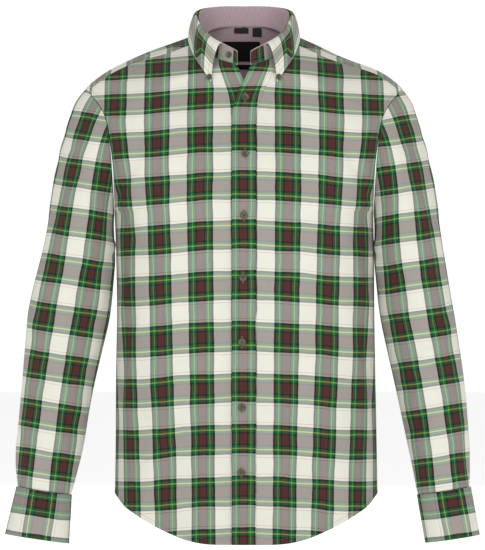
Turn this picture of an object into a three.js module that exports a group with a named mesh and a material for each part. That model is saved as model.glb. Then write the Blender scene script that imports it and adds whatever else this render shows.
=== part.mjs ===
import * as THREE from 'three';

// A men's long-sleeved check shirt with a button-down collar, filled out with no wearer.
// Millimetres, +Z up. The front faces -Y and +X is the wearer's left. The origin is the middle of
// the neck, level with the highest points of the shoulders.

// Driving sizes
const wall = 1.2;
const collarWall = 1.3;
const liningWall = 0.9;
const gap = 0.3;
const bandWidth = 36;
const lapDepth = 3;
const standHeight = 29;
const standEndHeight = 19;
const yokeSeamFront = 168;
const yokeSeamBack = 236;
const neckCornerFront = 126;
const neckCornerBack = 210.5;
const neckAtYokeSeam = 0.6;
const frontRadius = 300;
const roundHandle = 0.5523;
const underarmHeight = -258;
const hemSideHeight = -679;
const hemCurve = 0.83;
const hemDrop = 72;
const backHemDrop = 78;
const cuffHeight = 72;
const cuffOverlap = 24;
const buttonRadius = 5.75;
const smallButtonRadius = 4.5;
const buttonThickness = 2.4;

// Steps of the solids: down the body, round half a panel, and over each part of the armhole
const bodySteps = 9;
const halfSteps = 9;
const frontSteps = 16;
const yokeSteps = 8;
const backSteps = 8;
const sleeveCapSteps = 5;
const sleeveSteps = 7;

// Colours
const checkMaterial = new THREE.MeshStandardMaterial({ color: 0x5d7f62, roughness: 0.9 });
const chambrayMaterial = new THREE.MeshStandardMaterial({ color: 0xa58c91, roughness: 0.9 });
const hornMaterial = new THREE.MeshStandardMaterial({ color: 0x5e5a3c, roughness: 0.4 });
const labelMaterial = new THREE.MeshStandardMaterial({ color: 0x191b22, roughness: 0.8 });

// Small helpers for points
const degrees = Math.PI / 180;
const mix = (a, b, t) => a + (b - a) * t;
const add = (a, b, scale = 1) => a.map((value, k) => value + b[k] * scale);
const subtract = (a, b) => add(a, b, -1);
const dot = (a, b) => a[0] * b[0] + a[1] * b[1] + a[2] * b[2];
const cross = (a, b) => [
  a[1] * b[2] - a[2] * b[1],
  a[2] * b[0] - a[0] * b[2],
  a[0] * b[1] - a[1] * b[0],
];
const unit = a => a.map(value => value / (Math.hypot(...a) || 1));
const mirrored = point => [-point[0], point[1], point[2]];
const smooth = t => {
  const k = Math.min(1, Math.max(0, t));
  return k * k * (3 - 2 * k);
};

// Smooth values between the rows of a table, found by the table's first column
function lookup(names, rows) {
  const keys = rows.map(row => row[0]);
  const slope = (i, c) => {
    const low = Math.max(0, i - 1);
    const high = Math.min(rows.length - 1, i + 1);
    return (rows[high][c] - rows[low][c]) / (keys[high] - keys[low]);
  };
  const rising = keys[1] > keys[0];
  return key => {
    let i = 0;
    while (i < rows.length - 2 && (rising ? key > keys[i + 1] : key < keys[i + 1])) {
      i += 1;
    }
    const span = keys[i + 1] - keys[i];
    const t = Math.min(1, Math.max(0, (key - keys[i]) / span));
    const found = {};
    names.forEach((name, c) => {
      found[name] = (2 * t ** 3 - 3 * t * t + 1) * rows[i][c]
        + (t ** 3 - 2 * t * t + t) * span * slope(i, c)
        + (3 * t * t - 2 * t ** 3) * rows[i + 1][c]
        + (t ** 3 - t * t) * span * slope(i + 1, c);
    });
    return found;
  };
}

// Body sections below the underarm: half the width, how much wider the wearer's left half is, the
// depth before and behind the side seams, and how full the corners are
const bodySection = lookup(['height', 'halfWidth', 'wider', 'front', 'back', 'full'], [
  [-770, 193.5, 6.5, 133, 124, 0.6],
  [-679, 193.5, 6.5, 130, 120, 0.6],
  [-600, 192.5, 6.5, 125, 112, 0.6],
  [-500, 192, 5, 120, 103, 0.6],
  [-404, 190.5, 5, 121, 104, 0.6],
  [-314, 192, 3, 126, 112, 0.62],
  [-258, 194, 0, 128, 118, 0.66],
  [-200, 195, 0, 124, 120, 0.66],
]);

// The armhole of the wearer's right side, by the angle round it: 0 underarm, 90 front, 180 top
const armholePoints = lookup(['angle', 'x', 'y', 'z'], [
  [-45, -196, 42, -226],
  [0, -194, 0, -258],
  [45, -195, -38, -226],
  [90, -198, -56, -168],
  [135, -209, -43, -111],
  [180, -238, 3, -72],
  [225, -213, 48, -108],
  [270, -201, 61, -168],
  [315, -196, 42, -226],
  [360, -194, 0, -258],
  [405, -195, -38, -226],
]);
function armhole(angle) {
  const { x, y, z } = armholePoints(angle);
  return [x, y, z];
}

// The neck seam of the wearer's right side, from the middle of the back to the end at the front
const neckPoints = lookup(['part', 'x', 'y', 'z'], [
  [-0.25, 42, 47, 23],
  [0, 0, 58, 25.5],
  [0.25, -42, 47, 23],
  [0.5, -69, 10, 7],
  [0.6, -70, -10, -1],
  [0.8, -51, -50, -24],
  [1, -10, -71, -38],
  [1.2, 20, -80, -44],
]);
function neckSeam(part) {
  const { x, y, z } = neckPoints(part);
  return [x, y, z];
}

// The front edge that the buttons close: how far it passes the middle, by height
const frontEdge = lookup(['height', 'past', 'depth'], [
  [-310, 18, 126],
  [-258, 18, 128],
  [-200, 18, 122],
  [-140, 18, 106],
  [-108, 17, 95],
  [-84, 11, 87],
  [-60, -1, 79],
  [-38, -10, 71],
]);

// Where a row of a front meets the armhole: its turn backwards, its fall and the length of the turn
const frontTurn = lookup(['angle', 'edgeHeight', 'startFall', 'turn', 'fall', 'reach'], [
  [-42, -310, 0, 80, 0, 66],
  [0, -258, 0, 90, 0, 84.5],
  [42, -206, 0, 80, 0, 66],
  [84, -144, 0, 64, 0, 52],
  [105, -92, -0.03, 50, -0.08, 48],
  [126, -38, -0.08, 40, -0.25, 50],
  [147, -38, -0.29, 25, -0.58, 52],
  [168, -38, -0.47, 8, -1, 46],
]);
const backTurn = lookup(['angle', 'middleHeight', 'middleDepth', 'turn', 'fall', 'reach'], [
  [236, -85, 96, 46, -0.2, 50],
  [270, -150, 114, 64, 0, 54],
  [315, -210, 120, 80, 0, 64],
  [360, -258, 118, 90, 0, 78],
  [405, -306, 112.8, 80, 0, 64],
]);
const yokeTurn = lookup(['angle', 'middleHeight', 'middleDepth', 'startFall', 'turn', 'fall', 'reach'], [
  [168, 25.5, 58, -0.47, -8, -1, 46],
  [180, 25.5, 58, -0.49, 0, -1, 46],
  [195, 25.5, 58, -0.36, 16, -0.82, 48],
  [210.5, 25.5, 58, -0.1, 30, -0.45, 50],
  [223, -32, 84, 0, 39, -0.3, 50],
  [236, -85, 96, 0, 46, -0.2, 50],
]);

// Soft folds: where each starts and ends, its half width and how far it stands out
const foldColumns = ['fromAcross', 'fromUp', 'toAcross', 'toUp', 'halfWidth', 'stand'];
const frontFolds = [
  [0.72, 0, 0.66, 0.6, 0.1, 4],
  [0.42, 0, 0.38, 0.3, 0.09, -3],
  [0.86, 1.25, 0.6, 1.6, 0.09, -4],
];
const backFolds = [
  [0.75, 0, 0.66, 0.65, 0.1, 5],
  [0.36, 0, 0.4, 0.5, 0.12, 5],
  [0.56, 0, 0.54, 0.4, 0.09, -4],
  [0.85, 1.25, 0.6, 1.7, 0.1, -4],
];
const sleeveFolds = [
  [0.09, 0.8, 0.2, 1.2, 0.05, -4],
  [0.4, 1.3, 0.2, 1.45, 0.045, 3],
  [0.32, 1.55, 0.14, 1.7, 0.045, -3],
  [0.7, 1.15, 0.88, 1.4, 0.05, -4],
  [0.8, 1.5, 0.62, 1.7, 0.045, 3],
];

// How far the folds stand out at a place, with the rise across a fold rounded like a bell
function foldHeight(folds, across, up) {
  const upScale = 1.6;
  let height = 0;
  folds.forEach(row => {
    const fold = Object.fromEntries(foldColumns.map((name, c) => [name, row[c]]));
    const along = [fold.toAcross - fold.fromAcross, (fold.toUp - fold.fromUp) * upScale];
    const away = [across - fold.fromAcross, (up - fold.fromUp) * upScale];
    const length = Math.hypot(...along);
    const part = (away[0] * along[0] + away[1] * along[1]) / length ** 2;
    const side = (away[0] * along[1] - away[1] * along[0]) / length / fold.halfWidth;
    const end = Math.max(0, -part, part - 1) * length / fold.halfWidth / 2;
    height += fold.stand * Math.exp(-side * side - end * end);
  });
  return height;
}

// A curve from one point to another that leaves and arrives along the given directions
function curve(from, leave, arrive, to, t) {
  const first = add(from, leave);
  const second = subtract(to, arrive);
  const s = 1 - t;
  return from.map((value, k) => (
    s ** 3 * value + 3 * s * s * t * first[k] + 3 * s * t * t * second[k] + t ** 3 * to[k]
  ));
}

// A row across half a panel, from the middle to the side; facing is -1 before and 1 behind
function panelRow(facing, start, end, shape, across) {
  const handle = roundHandle * Math.abs(end[0] - start[0]);
  const leave = [-handle, facing * handle * (shape.past ?? 0) / frontRadius, handle * shape.startFall];
  const turn = shape.turn * degrees;
  const arrive = [-Math.cos(turn), -facing * Math.sin(turn), shape.fall];
  return curve(start, leave, arrive.map(value => value * shape.reach), end, across);
}

// The body below the underarm: up runs from the hem, 0, to the underarm, 1
function lowerPoint(facing, past, across, up) {
  const drop = (facing < 0 ? hemDrop : backHemDrop) * smooth((1 - across) / hemCurve);
  const height = mix(hemSideHeight - drop, underarmHeight, up);
  const section = bodySection(height);
  const depth = facing < 0 ? section.front : section.back;
  const start = [past, facing * (depth - past * past / frontRadius / 2), height];
  const end = [-section.halfWidth, 0, height];
  const shape = { startFall: 0, past, turn: 90, fall: 0, reach: section.full * depth };
  return panelRow(facing, start, end, shape, across);
}

// Folds stand out of the smooth panel, and fade out at its seams
function folded(facing, folds, point, across, up) {
  const atSeams = smooth(across / 0.2) * smooth((1 - across) / 0.15) * smooth((2 - up) / 0.25);
  const turn = across * 90 * degrees;
  const height = foldHeight(folds, across, up) * atSeams;
  return add(point, [-Math.sin(turn), facing * Math.cos(turn), 0], height);
}

// The right front as worn: up is 0 at the hem, 1 at the underarm and 2 at the yoke seam
function rightFront(across, up) {
  if (up < 1) {
    return folded(-1, frontFolds, lowerPoint(-1, bandWidth / 2, across, up), across, up);
  }
  const angle = (up - 1) * yokeSeamFront;
  const shape = frontTurn(angle);
  const onNeck = Math.max(0, angle - neckCornerFront) / (yokeSeamFront - neckCornerFront);
  const edge = frontEdge(shape.edgeHeight);
  const start = angle < neckCornerFront
    ? [edge.past, edge.past ** 2 / frontRadius / 2 - edge.depth, shape.edgeHeight]
    : neckSeam(mix(1, neckAtYokeSeam, onNeck));
  const past = angle < neckCornerFront ? edge.past : 0;
  const point = panelRow(-1, start, armhole(angle), { ...shape, past }, across);
  return folded(-1, frontFolds, point, across, up);
}

// Half the back: up is 0 at the hem, 1 at the underarm and 2 at the yoke seam
function halfBack(across, up) {
  if (up < 1) {
    return folded(1, backFolds, lowerPoint(1, 0, across, up), across, up);
  }
  const angle = mix(360, yokeSeamBack, up - 1);
  const shape = backTurn(angle);
  const start = [0, shape.middleDepth, shape.middleHeight];
  const point = panelRow(1, start, armhole(angle), { ...shape, startFall: 0 }, across);
  return folded(1, backFolds, point, across, up);
}

// Half the yoke: over is 0 at the seam with the back and 1 at the seam with the front
function halfYoke(across, over) {
  const angle = mix(yokeSeamBack, yokeSeamFront, over);
  const shape = yokeTurn(angle);
  const onNeck = (neckCornerBack - angle) / (neckCornerBack - yokeSeamFront);
  const start = onNeck < 0
    ? [0, shape.middleDepth, shape.middleHeight]
    : neckSeam(onNeck * neckAtYokeSeam);
  return panelRow(1, start, armhole(angle), shape, across);
}

// Sleeve sections under the cap: the middle, half the width and depth, and the lean of the section
const sleeveColumns = ['height', 'middle', 'halfWidth', 'halfDepth', 'back', 'lean'];
const rightSleeveSection = lookup(sleeveColumns, [
  [-330, -248, 56, 64, -5, 14],
  [-404, -261, 61, 60, -7, 9],
  [-458, -270, 58, 57, -9, 8.5],
  [-530, -281, 53, 52, -12, 8.5],
  [-602, -290, 50, 47, -14, 8.5],
  [-640, -295, 46, 42, -16, 8.5],
  [-674, -298.5, 40.5, 34, -18, 8.5],
]);
const leftSleeveSection = lookup(sleeveColumns, [
  [-330, -247.7, 53.3, 66, -5, 14],
  [-404, -258, 55, 62, -7, 9],
  [-458, -268, 54, 59, -9, 8.5],
  [-530, -281, 51, 54, -12, 8.5],
  [-602, -291, 46, 49, -15, 8.5],
  [-640, -295, 42, 43, -16, 8.5],
  [-674, -298.5, 39.5, 35, -18, 8.5],
]);
const rightArm = { section: rightSleeveSection, wrist: -674, flare: 0.58 };
const leftArm = { section: leftSleeveSection, wrist: -674, flare: 0.5 };

function sleeveRing(arm, height, angle) {
  const ring = arm.section(height);
  const lean = ring.lean * degrees;
  const outward = [-Math.cos(lean), 0, Math.sin(lean)];
  const across = -ring.halfWidth * Math.cos(angle * degrees);
  const forward = -ring.halfDepth * Math.sin(angle * degrees);
  return add([ring.middle, ring.back + forward, height], outward, across);
}

// The sleeve on the wearer's right side: down is 0 at the armhole, 1 under the cap, 2 at the wrist
const capHeight = -330;
function sleevePoint(arm, angle, down) {
  const atSeams = smooth((down - 0.3) / 0.4) * smooth((2 - down) / 0.2);
  const height = foldHeight(sleeveFolds, angle / 360, down) * atSeams;
  const round = [Math.cos(angle * degrees), -Math.sin(angle * degrees), 0];
  return add(smoothSleevePoint(arm, angle, down), round, height);
}
function smoothSleevePoint(arm, angle, down) {
  if (down >= 1) {
    return sleeveRing(arm, mix(capHeight, arm.wrist, down - 1), angle);
  }
  const from = armhole(angle);
  const to = sleeveRing(arm, capHeight, angle);
  const reach = Math.hypot(...subtract(to, from)) / 3;
  const top = (1 - Math.cos(angle * degrees)) / 2;
  const side = Math.sin(angle * degrees);
  const leave = unit([mix(-0.12, -arm.flare, top) - 0.3 * side * side, -0.3 * side, mix(-0.95, -0.8, top)]);
  const arrive = unit(subtract(sleeveRing(arm, capHeight - 1, angle), to));
  return curve(from, leave.map(v => v * reach), arrive.map(v => v * reach), to, down);
}

// The closed wall of a cloth: its grids of points are joined where they meet, every point is moved
// out or in along the surface, and a rim closes the edge
function clothWall(grids, inner, outer, insidePoint) {
  const points = [];
  const numbers = new Map();
  const numberOf = point => {
    const key = point.map(value => Math.round(value * 200)).join(' ');
    if (!numbers.has(key)) {
      numbers.set(key, points.length);
      points.push(point);
    }
    return numbers.get(key);
  };
  const faceNormal = quad => {
    const [a, b, c, d] = quad.map(id => points[id]);
    return cross(subtract(c, a), subtract(d, b));
  };
  const middleOf = quad => quad.reduce((sum, id) => add(sum, points[id], 0.25), [0, 0, 0]);
  const facesOut = quad => dot(faceNormal(quad), subtract(middleOf(quad), insidePoint(middleOf(quad))));
  const faces = [];
  grids.forEach(rows => {
    const ids = rows.map(row => row.map(numberOf));
    const quads = [];
    for (let i = 0; i + 1 < ids.length; i += 1) {
      for (let j = 0; j + 1 < ids[0].length; j += 1) {
        quads.push([ids[i][j], ids[i][j + 1], ids[i + 1][j + 1], ids[i + 1][j]]);
      }
    }
    const outwards = quads.reduce((sum, quad) => sum + facesOut(quad), 0) > 0;
    quads.forEach(quad => faces.push(outwards ? quad : quad.reverse()));
  });
  const normals = points.map(() => [0, 0, 0]);
  faces.forEach(face => {
    const normal = faceNormal(face);
    face.forEach(id => {
      normals[id] = add(normals[id], normal);
    });
  });
  const lift = (id, distance) => add(points[id], unit(normals[id]), distance);
  const positions = [];
  points.forEach((point, id) => positions.push(...lift(id, outer)));
  points.forEach((point, id) => positions.push(...lift(id, inner)));
  const count = points.length;
  const triangles = [];
  const edges = new Map();
  faces.forEach(([a, b, c, d]) => {
    const first = Math.hypot(...subtract(points[a], points[c]));
    const second = Math.hypot(...subtract(points[b], points[d]));
    const halves = first <= second ? [[a, b, c], [a, c, d]] : [[a, b, d], [b, c, d]];
    halves.forEach(([p, q, r]) => {
      triangles.push(p, q, r);
      triangles.push(r + count, q + count, p + count);
    });
    [[a, b], [b, c], [c, d], [d, a]].forEach(([p, q]) => edges.set(`${p} ${q}`, [p, q]));
  });
  edges.forEach(([p, q]) => {
    if (!edges.has(`${q} ${p}`)) {
      triangles.push(q, p, p + count);
      triangles.push(q, p + count, q + count);
    }
  });
  const geometry = new THREE.BufferGeometry();
  geometry.setAttribute('position', new THREE.Float32BufferAttribute(positions, 3));
  geometry.setIndex(triangles);
  return geometry;
}

// A grid of points over a surface, and lists of evenly spaced values
function grid(surface, acrossList, upList) {
  return upList.map(up => acrossList.map(across => surface(across, up)));
}
function steps(from, to, count) {
  return Array.from({ length: count + 1 }, (unused, k) => mix(from, to, k / count));
}
const mirrorGrid = rows => rows.map(row => row.map(mirrored));

const shirt = new THREE.Group();
shirt.name = 'shirt';
function place(name, geometry, material) {
  const mesh = new THREE.Mesh(geometry, material);
  mesh.name = name;
  shirt.add(mesh);
  return mesh;
}

// Insides, for telling which way each cloth faces
const bodyInside = point => [0, 0, Math.min(point[2], -120)];

// Panels stop this part of their own length short of a seam
const seamStep = 0.0012;
const acrossSteps = steps(0, 1 - seamStep, halfSteps);
const lowerSteps = steps(0, 1, bodySteps);
const frontUp = [...lowerSteps, ...steps(1, 2 - seamStep, frontSteps).slice(1)];
const backUp = [...lowerSteps, ...steps(1, 2 - seamStep, backSteps).slice(1)];
const yokeOver = steps(seamStep, 1 - seamStep, yokeSteps);

// The wearer's left half of the body is a little wider, and that shoulder falls away more steeply
const lowestSection = -770;
const highestSection = -200;
const shoulder = { middle: 150, spread: 40, rightLift: 3, leftLift: -3.5, lowest: -150, fade: 100 };
function uneven(point) {
  const section = bodySection(Math.max(lowestSection, Math.min(highestSection, point[2])));
  const stretch = point[0] > 0 ? section.wider / section.halfWidth : 0;
  const lift = (point[0] > 0 ? shoulder.leftLift : shoulder.rightLift)
    * Math.exp(-(((Math.abs(point[0]) - shoulder.middle) / shoulder.spread) ** 2))
    * smooth((point[2] - shoulder.lowest) / shoulder.fade);
  return [point[0] * (1 + stretch), point[1], point[2] + lift];
}
const unevenGrid = rows => rows.map(row => row.map(uneven));

// The right front lies under the left one where they overlap, less so up to the neck
const underlap = { from: -62, over: 30, top: -38, fade: 18 };
function rightFrontCloth(across, up) {
  const point = rightFront(across, up);
  const under = smooth((point[0] - underlap.from) / underlap.over)
    * smooth((underlap.top - point[2]) / underlap.fade);
  return [point[0], point[1] + lapDepth * under, point[2]];
}
place('front_right', clothWall([unevenGrid(grid(rightFrontCloth, acrossSteps, frontUp))],
  -wall, 0, bodyInside), checkMaterial);
place('front_left', clothWall([unevenGrid(mirrorGrid(grid(rightFront, acrossSteps, frontUp)))],
  -wall, 0, bodyInside), checkMaterial);
const backGrid = grid(halfBack, acrossSteps, backUp);
place('back', clothWall([unevenGrid(backGrid), unevenGrid(mirrorGrid(backGrid))],
  -wall, 0, bodyInside), checkMaterial);
const halfYokeGrid = grid(halfYoke, acrossSteps, yokeOver);
const yokeGrids = [unevenGrid(halfYokeGrid), unevenGrid(mirrorGrid(halfYokeGrid))];
place('yoke', clothWall(yokeGrids, -wall, 0, bodyInside), checkMaterial);
place('yoke_lining', clothWall(yokeGrids, -wall - gap - liningWall, -wall - gap, bodyInside),
  chambrayMaterial);

// Sleeves, with a line down the cloth at every row of the front, the yoke and the back
const armholeAngles = [
  ...steps(0, yokeSeamFront, frontSteps),
  ...steps(yokeSeamFront, yokeSeamBack, yokeSteps).slice(1),
  ...steps(yokeSeamBack, 360, backSteps).slice(1),
];
const sleeveDown = [...steps(0.004, 1, sleeveCapSteps), ...steps(1, 2, sleeveSteps).slice(1)];
function sleeveGrid(arm) {
  return sleeveDown.map(down => armholeAngles.map(angle => sleevePoint(arm, angle, down)));
}
const armInside = arm => point => {
  const ring = arm.section(Math.min(capHeight, point[2]));
  return [ring.middle * (point[2] > capHeight ? 0.85 : 1), ring.back, Math.min(point[2], -150)];
};
place('sleeve_right', clothWall([sleeveGrid(rightArm)], -wall, 0, armInside(rightArm)), checkMaterial);
place('sleeve_left', clothWall([mirrorGrid(sleeveGrid(leftArm))], -wall, 0,
  point => mirrored(armInside(leftArm)(mirrored(point)))), checkMaterial);

// Where a surface has the given x and height, found by stepping towards it
function surfaceAt(surface, guess, x, height) {
  const tiny = 0.001;
  let [across, up] = guess;
  for (let k = 0; k < 25; k += 1) {
    const here = surface(across, up);
    const alongAcross = subtract(surface(across + tiny, up), here).map(value => value / tiny);
    const alongUp = subtract(surface(across, up + tiny), here).map(value => value / tiny);
    const missX = x - here[0];
    const missHeight = height - here[2];
    const scale = alongAcross[0] * alongUp[2] - alongUp[0] * alongAcross[2];
    across += 0.7 * (missX * alongUp[2] - missHeight * alongUp[0]) / scale;
    up += 0.7 * (missHeight * alongAcross[0] - missX * alongAcross[2]) / scale;
  }
  const point = surface(across, up);
  const alongAcross = subtract(surface(across + tiny, up), point);
  const alongUp = subtract(surface(across, up + tiny), point);
  return { point, normal: unit(cross(alongAcross, alongUp)) };
}
const leftFront = (across, up) => uneven(mirrored(rightFront(across, up)));

// The band down the left front's edge, which the buttons and their holes go through
function acrossAtWidth(up, width) {
  const start = leftFront(0, up);
  let across = width / 200;
  for (let k = 0; k < 12; k += 1) {
    across *= width / Math.hypot(...subtract(leftFront(across, up), start));
  }
  return across;
}
const bandTop = 1 + neckCornerFront / yokeSeamFront - seamStep;
const bandUp = [...lowerSteps, ...steps(1, bandTop, 12).slice(1)];
const bandGrid = bandUp.map(up => (
  steps(0, bandWidth, 2).map(width => leftFront(width ? acrossAtWidth(up, width) : 0, up))
));
place('front_band', clothWall([bandGrid], gap, gap + wall, bodyInside), checkMaterial);

// Buttons: a dished disc with a rounded rim, its back on z = 0
function buttonGeometry(radius) {
  const profile = [
    [0, 0],
    [radius * 0.85, 0],
    [radius, buttonThickness * 0.3],
    [radius, buttonThickness * 0.75],
    [radius * 0.85, buttonThickness],
    [radius * 0.65, buttonThickness * 0.75],
    [0, buttonThickness * 0.75],
  ];
  const geometry = new THREE.LatheGeometry(profile.map(([x, y]) => new THREE.Vector2(x, y)), 12);
  return geometry.rotateX(Math.PI / 2);
}
function placeButton(name, radius, point, normal, lift) {
  const mesh = place(name, buttonGeometry(radius), hornMaterial);
  mesh.position.set(...add(point, normal, lift));
  mesh.quaternion.setFromUnitVectors(new THREE.Vector3(0, 0, 1), new THREE.Vector3(...normal));
}
const buttonSeat = 0.3;
const bodyLength = underarmHeight - hemSideHeight + hemDrop;
const chestUp = 1.3;
const frontButtons = [
  { height: -88, x: 2 },
  { height: -172, x: 1.5 },
  { height: -263, x: 0 },
  { height: -355, x: -1.5 },
  { height: -451, x: -3 },
  { height: -548, x: -3 },
  { height: -644, x: -4 },
];
frontButtons.forEach(({ height, x }, k) => {
  const startUp = height < underarmHeight ? 1 + (height - underarmHeight) / bodyLength : chestUp;
  const { point, normal } = surfaceAt(leftFront, [0.06, startUp], x, height);
  const outward = normal[1] < 0 ? normal : normal.map(value => -value);
  placeButton(`button_${k + 1}`, buttonRadius, point, outward, gap + wall + buttonSeat);
});

// The collar stand, from its end at the right front round the back to the left front
const standHeightAt = lookup(['part', 'height'], [
  [0, standHeight - 2.5],
  [0.25, standHeight - 1.5],
  [0.5, standHeight + 7],
  [0.6, standHeight + 4],
  [0.7, standHeight + 1],
  [0.8, standHeight - 2],
  [0.9, standHeight - 5],
  [1, standEndHeight],
]);
function standPoint(part, rise) {
  const side = part < 0 ? 1 : -1;
  const s = Math.abs(part);
  const [x, y, z] = neckSeam(s);
  const inward = 0.04 * (1 - smooth((s - 0.6) / 0.4));
  const lean = unit([-x / 70 * inward, -y / 60 * inward, 1]);
  const tall = gap + rise * (standHeightAt(s).height - gap);
  return add([-side * x, y, z], [-side * lean[0], lean[1], lean[2]], tall);
}
const neckParts = [...steps(1, neckAtYokeSeam, 4), ...steps(neckAtYokeSeam, 0, 5).slice(1)];
const standParts = [...neckParts, ...neckParts.slice(0, -1).reverse().map(part => -part)];
const standGrid = top => steps(0, top, 2).map(rise => standParts.map(part => standPoint(part, rise)));
const liningTop = 1.07;
const collarInside = () => [0, 0, 20];
place('collar_stand', clothWall([standGrid(1)], -collarWall, 0, collarInside), checkMaterial);
place('stand_lining', clothWall([standGrid(liningTop)], -collarWall - gap - liningWall,
  -collarWall - gap, collarInside), chambrayMaterial);

// The leaf of the collar: its outer edge, by the part of the neck seam that it hangs from, and how
// far it leaves the stand upwards and outwards and how steeply it comes down
const leafFront = 0.9;
const leafColumns = ['part', 'x', 'y', 'z', 'rise', 'out', 'fall'];
const leafEdge = lookup(leafColumns, [
  [0, 0, 84, 15, 7, 3.5, 26],
  [0.12, -34, 80, 15.5, 7, 3.5, 26],
  [0.24, -61, 64, 16.5, 7, 4, 26],
  [0.36, -77.5, 37, 14, 7, 4, 26],
  [0.48, -84, 4, 3, 8, 4.5, 26],
  [0.6, -80, -30, -13, 11, 7, 26],
  [0.7, -72, -56, -30.5, 14, 10, 28],
  [0.8, -61, -74, -46.5, 15, 12, 30],
  [0.9, -49, -81.5, -65, 12, 16, 30],
]);
function leafPoint(part, over) {
  const side = part < 0 ? 1 : -1;
  const s = Math.abs(part);
  const edge = leafEdge(s);
  const base = standPoint(-s, 1).map((value, k) => (k === 0 ? -Math.abs(value) : value));
  const from = add(base, [0, 0, 1], gap * 2);
  const outward = unit([from[0], from[1] * 1.2, 0]);
  const leave = add([0, 0, edge.rise], outward, edge.out);
  const point = curve(from, leave, [0, 0, -edge.fall], [edge.x, edge.y, edge.z], over);
  return [-side * point[0], point[1], point[2]];
}
const leafHalf = [leafFront, 0.85, 0.8, 0.75, 0.7, 0.65, 0.6, 0.54, 0.48, 0.42, 0.36, 0.3, 0.24, 0.12, 0];
const leafParts = [...leafHalf, ...leafHalf.slice(0, -1).reverse().map(part => -part)];
const leafGrid = steps(0, 1, 7).map(over => leafParts.map(part => leafPoint(part, over)));
const leafInside = point => [point[0] * 0.75, point[1] * 0.75, point[2] - 12];
place('collar_leaf', clothWall([leafGrid], -collarWall, 0, leafInside), checkMaterial);

// Cuffs: a band round the wrist whose end laps over its start behind the outer side
const cuffWall = 1.8;
const lapStart = 196;
const rightCuff = { arm: rightArm, slide: -10.5, halfWidth: 47, halfDepth: 27, push: -6 };
const leftCuff = { arm: leftArm, slide: -13, halfWidth: 40, halfDepth: 34, push: -4 };
const cuffPerDegree = 0.75;
const cuffTurn = 360 + cuffOverlap / cuffPerDegree;
function cuffPoint(cuff, turn, down) {
  const angle = lapStart + turn;
  const ring = cuff.arm.section(cuff.arm.wrist);
  const lean = ring.lean * degrees;
  const middle = add([ring.middle, ring.back, cuff.arm.wrist],
    [cuff.slide, cuff.push, -cuffHeight], down);
  const out = (cuffWall + gap * 2) * turn / 360;
  const across = -(mix(ring.halfWidth, cuff.halfWidth, down) + out) * Math.cos(angle * degrees);
  const forward = -(mix(ring.halfDepth, cuff.halfDepth, down) + out) * Math.sin(angle * degrees);
  return add([middle[0], middle[1] + forward, middle[2]], [-Math.cos(lean), 0, Math.sin(lean)], across);
}
const cuffDown = steps(0.008, 1, 2);
const cuffTurns = steps(0, cuffTurn, 32);
function cuffGrid(cuff) {
  return cuffDown.map(down => cuffTurns.map(turn => cuffPoint(cuff, turn, down)));
}
const cuffInside = arm => () => {
  const ring = arm.section(arm.wrist);
  return [ring.middle - 5, ring.back, arm.wrist - cuffHeight / 2];
};
place('cuff_right', clothWall([cuffGrid(rightCuff)], -cuffWall, 0, cuffInside(rightArm)),
  checkMaterial);
place('cuff_left', clothWall([mirrorGrid(cuffGrid(leftCuff))], -cuffWall, 0,
  () => mirrored(cuffInside(leftArm)())), checkMaterial);

// Labels inside the back of the neck, all plain
const labelWall = 0.6;
const labelLift = wall + gap + liningWall;
const halfYokePoint = (x, height) => (
  surfaceAt(halfYoke, [Math.abs(x) / 200, 0.3], -Math.abs(x) - 0.001, height).point
);
function placeLabel(name, left, right, top, bottom, seat) {
  const rows = steps(top, bottom, 2).map(height => steps(left, right, 3).map(x => {
    const point = halfYokePoint(x, height);
    return x < 0 ? point : mirrored(point);
  }));
  place(name, clothWall([rows], -labelLift - seat - labelWall, -labelLift - seat, bodyInside), labelMaterial);
}
placeLabel('label_main', -35, 25, 3, -27, 1.5);
placeLabel('label_strip', -35, 25, -32, -39, 1.8);
placeLabel('label_small', -15, 7, 23, 14.5, 0.8);
placeLabel('label_size', 13, 27, 23, 9.5, 0.95);

// The sleeve slit's band above the cuff, with a pointed top, on the sleeve's own lines
const slitAngles = armholeAngles.slice(frontSteps + 3, frontSteps + 7);
const slitMiddle = (slitAngles[1] + slitAngles[2]) / 2;
const slitRows = 3;
const slitPoint = 0.03;
function placeSlitBand(name, arm, turnOver) {
  const rows = steps(0, slitRows, slitRows).map(row => slitAngles.map((angle, column) => {
    const pointed = row === slitRows && (column === 1 || column === 2) ? slitPoint : 0;
    const down = 2 - Math.max(row / sleeveSteps, 0.003) - pointed;
    return turnOver(sleevePoint(arm, angle, down));
  }));
  const inside = point => turnOver(armInside(arm)(turnOver(point)));
  place(name, clothWall([rows], gap * 2, gap * 2 + wall, inside), checkMaterial);
}
placeSlitBand('slit_band_right', rightArm, point => point);
placeSlitBand('slit_band_left', leftArm, mirrored);

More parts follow.
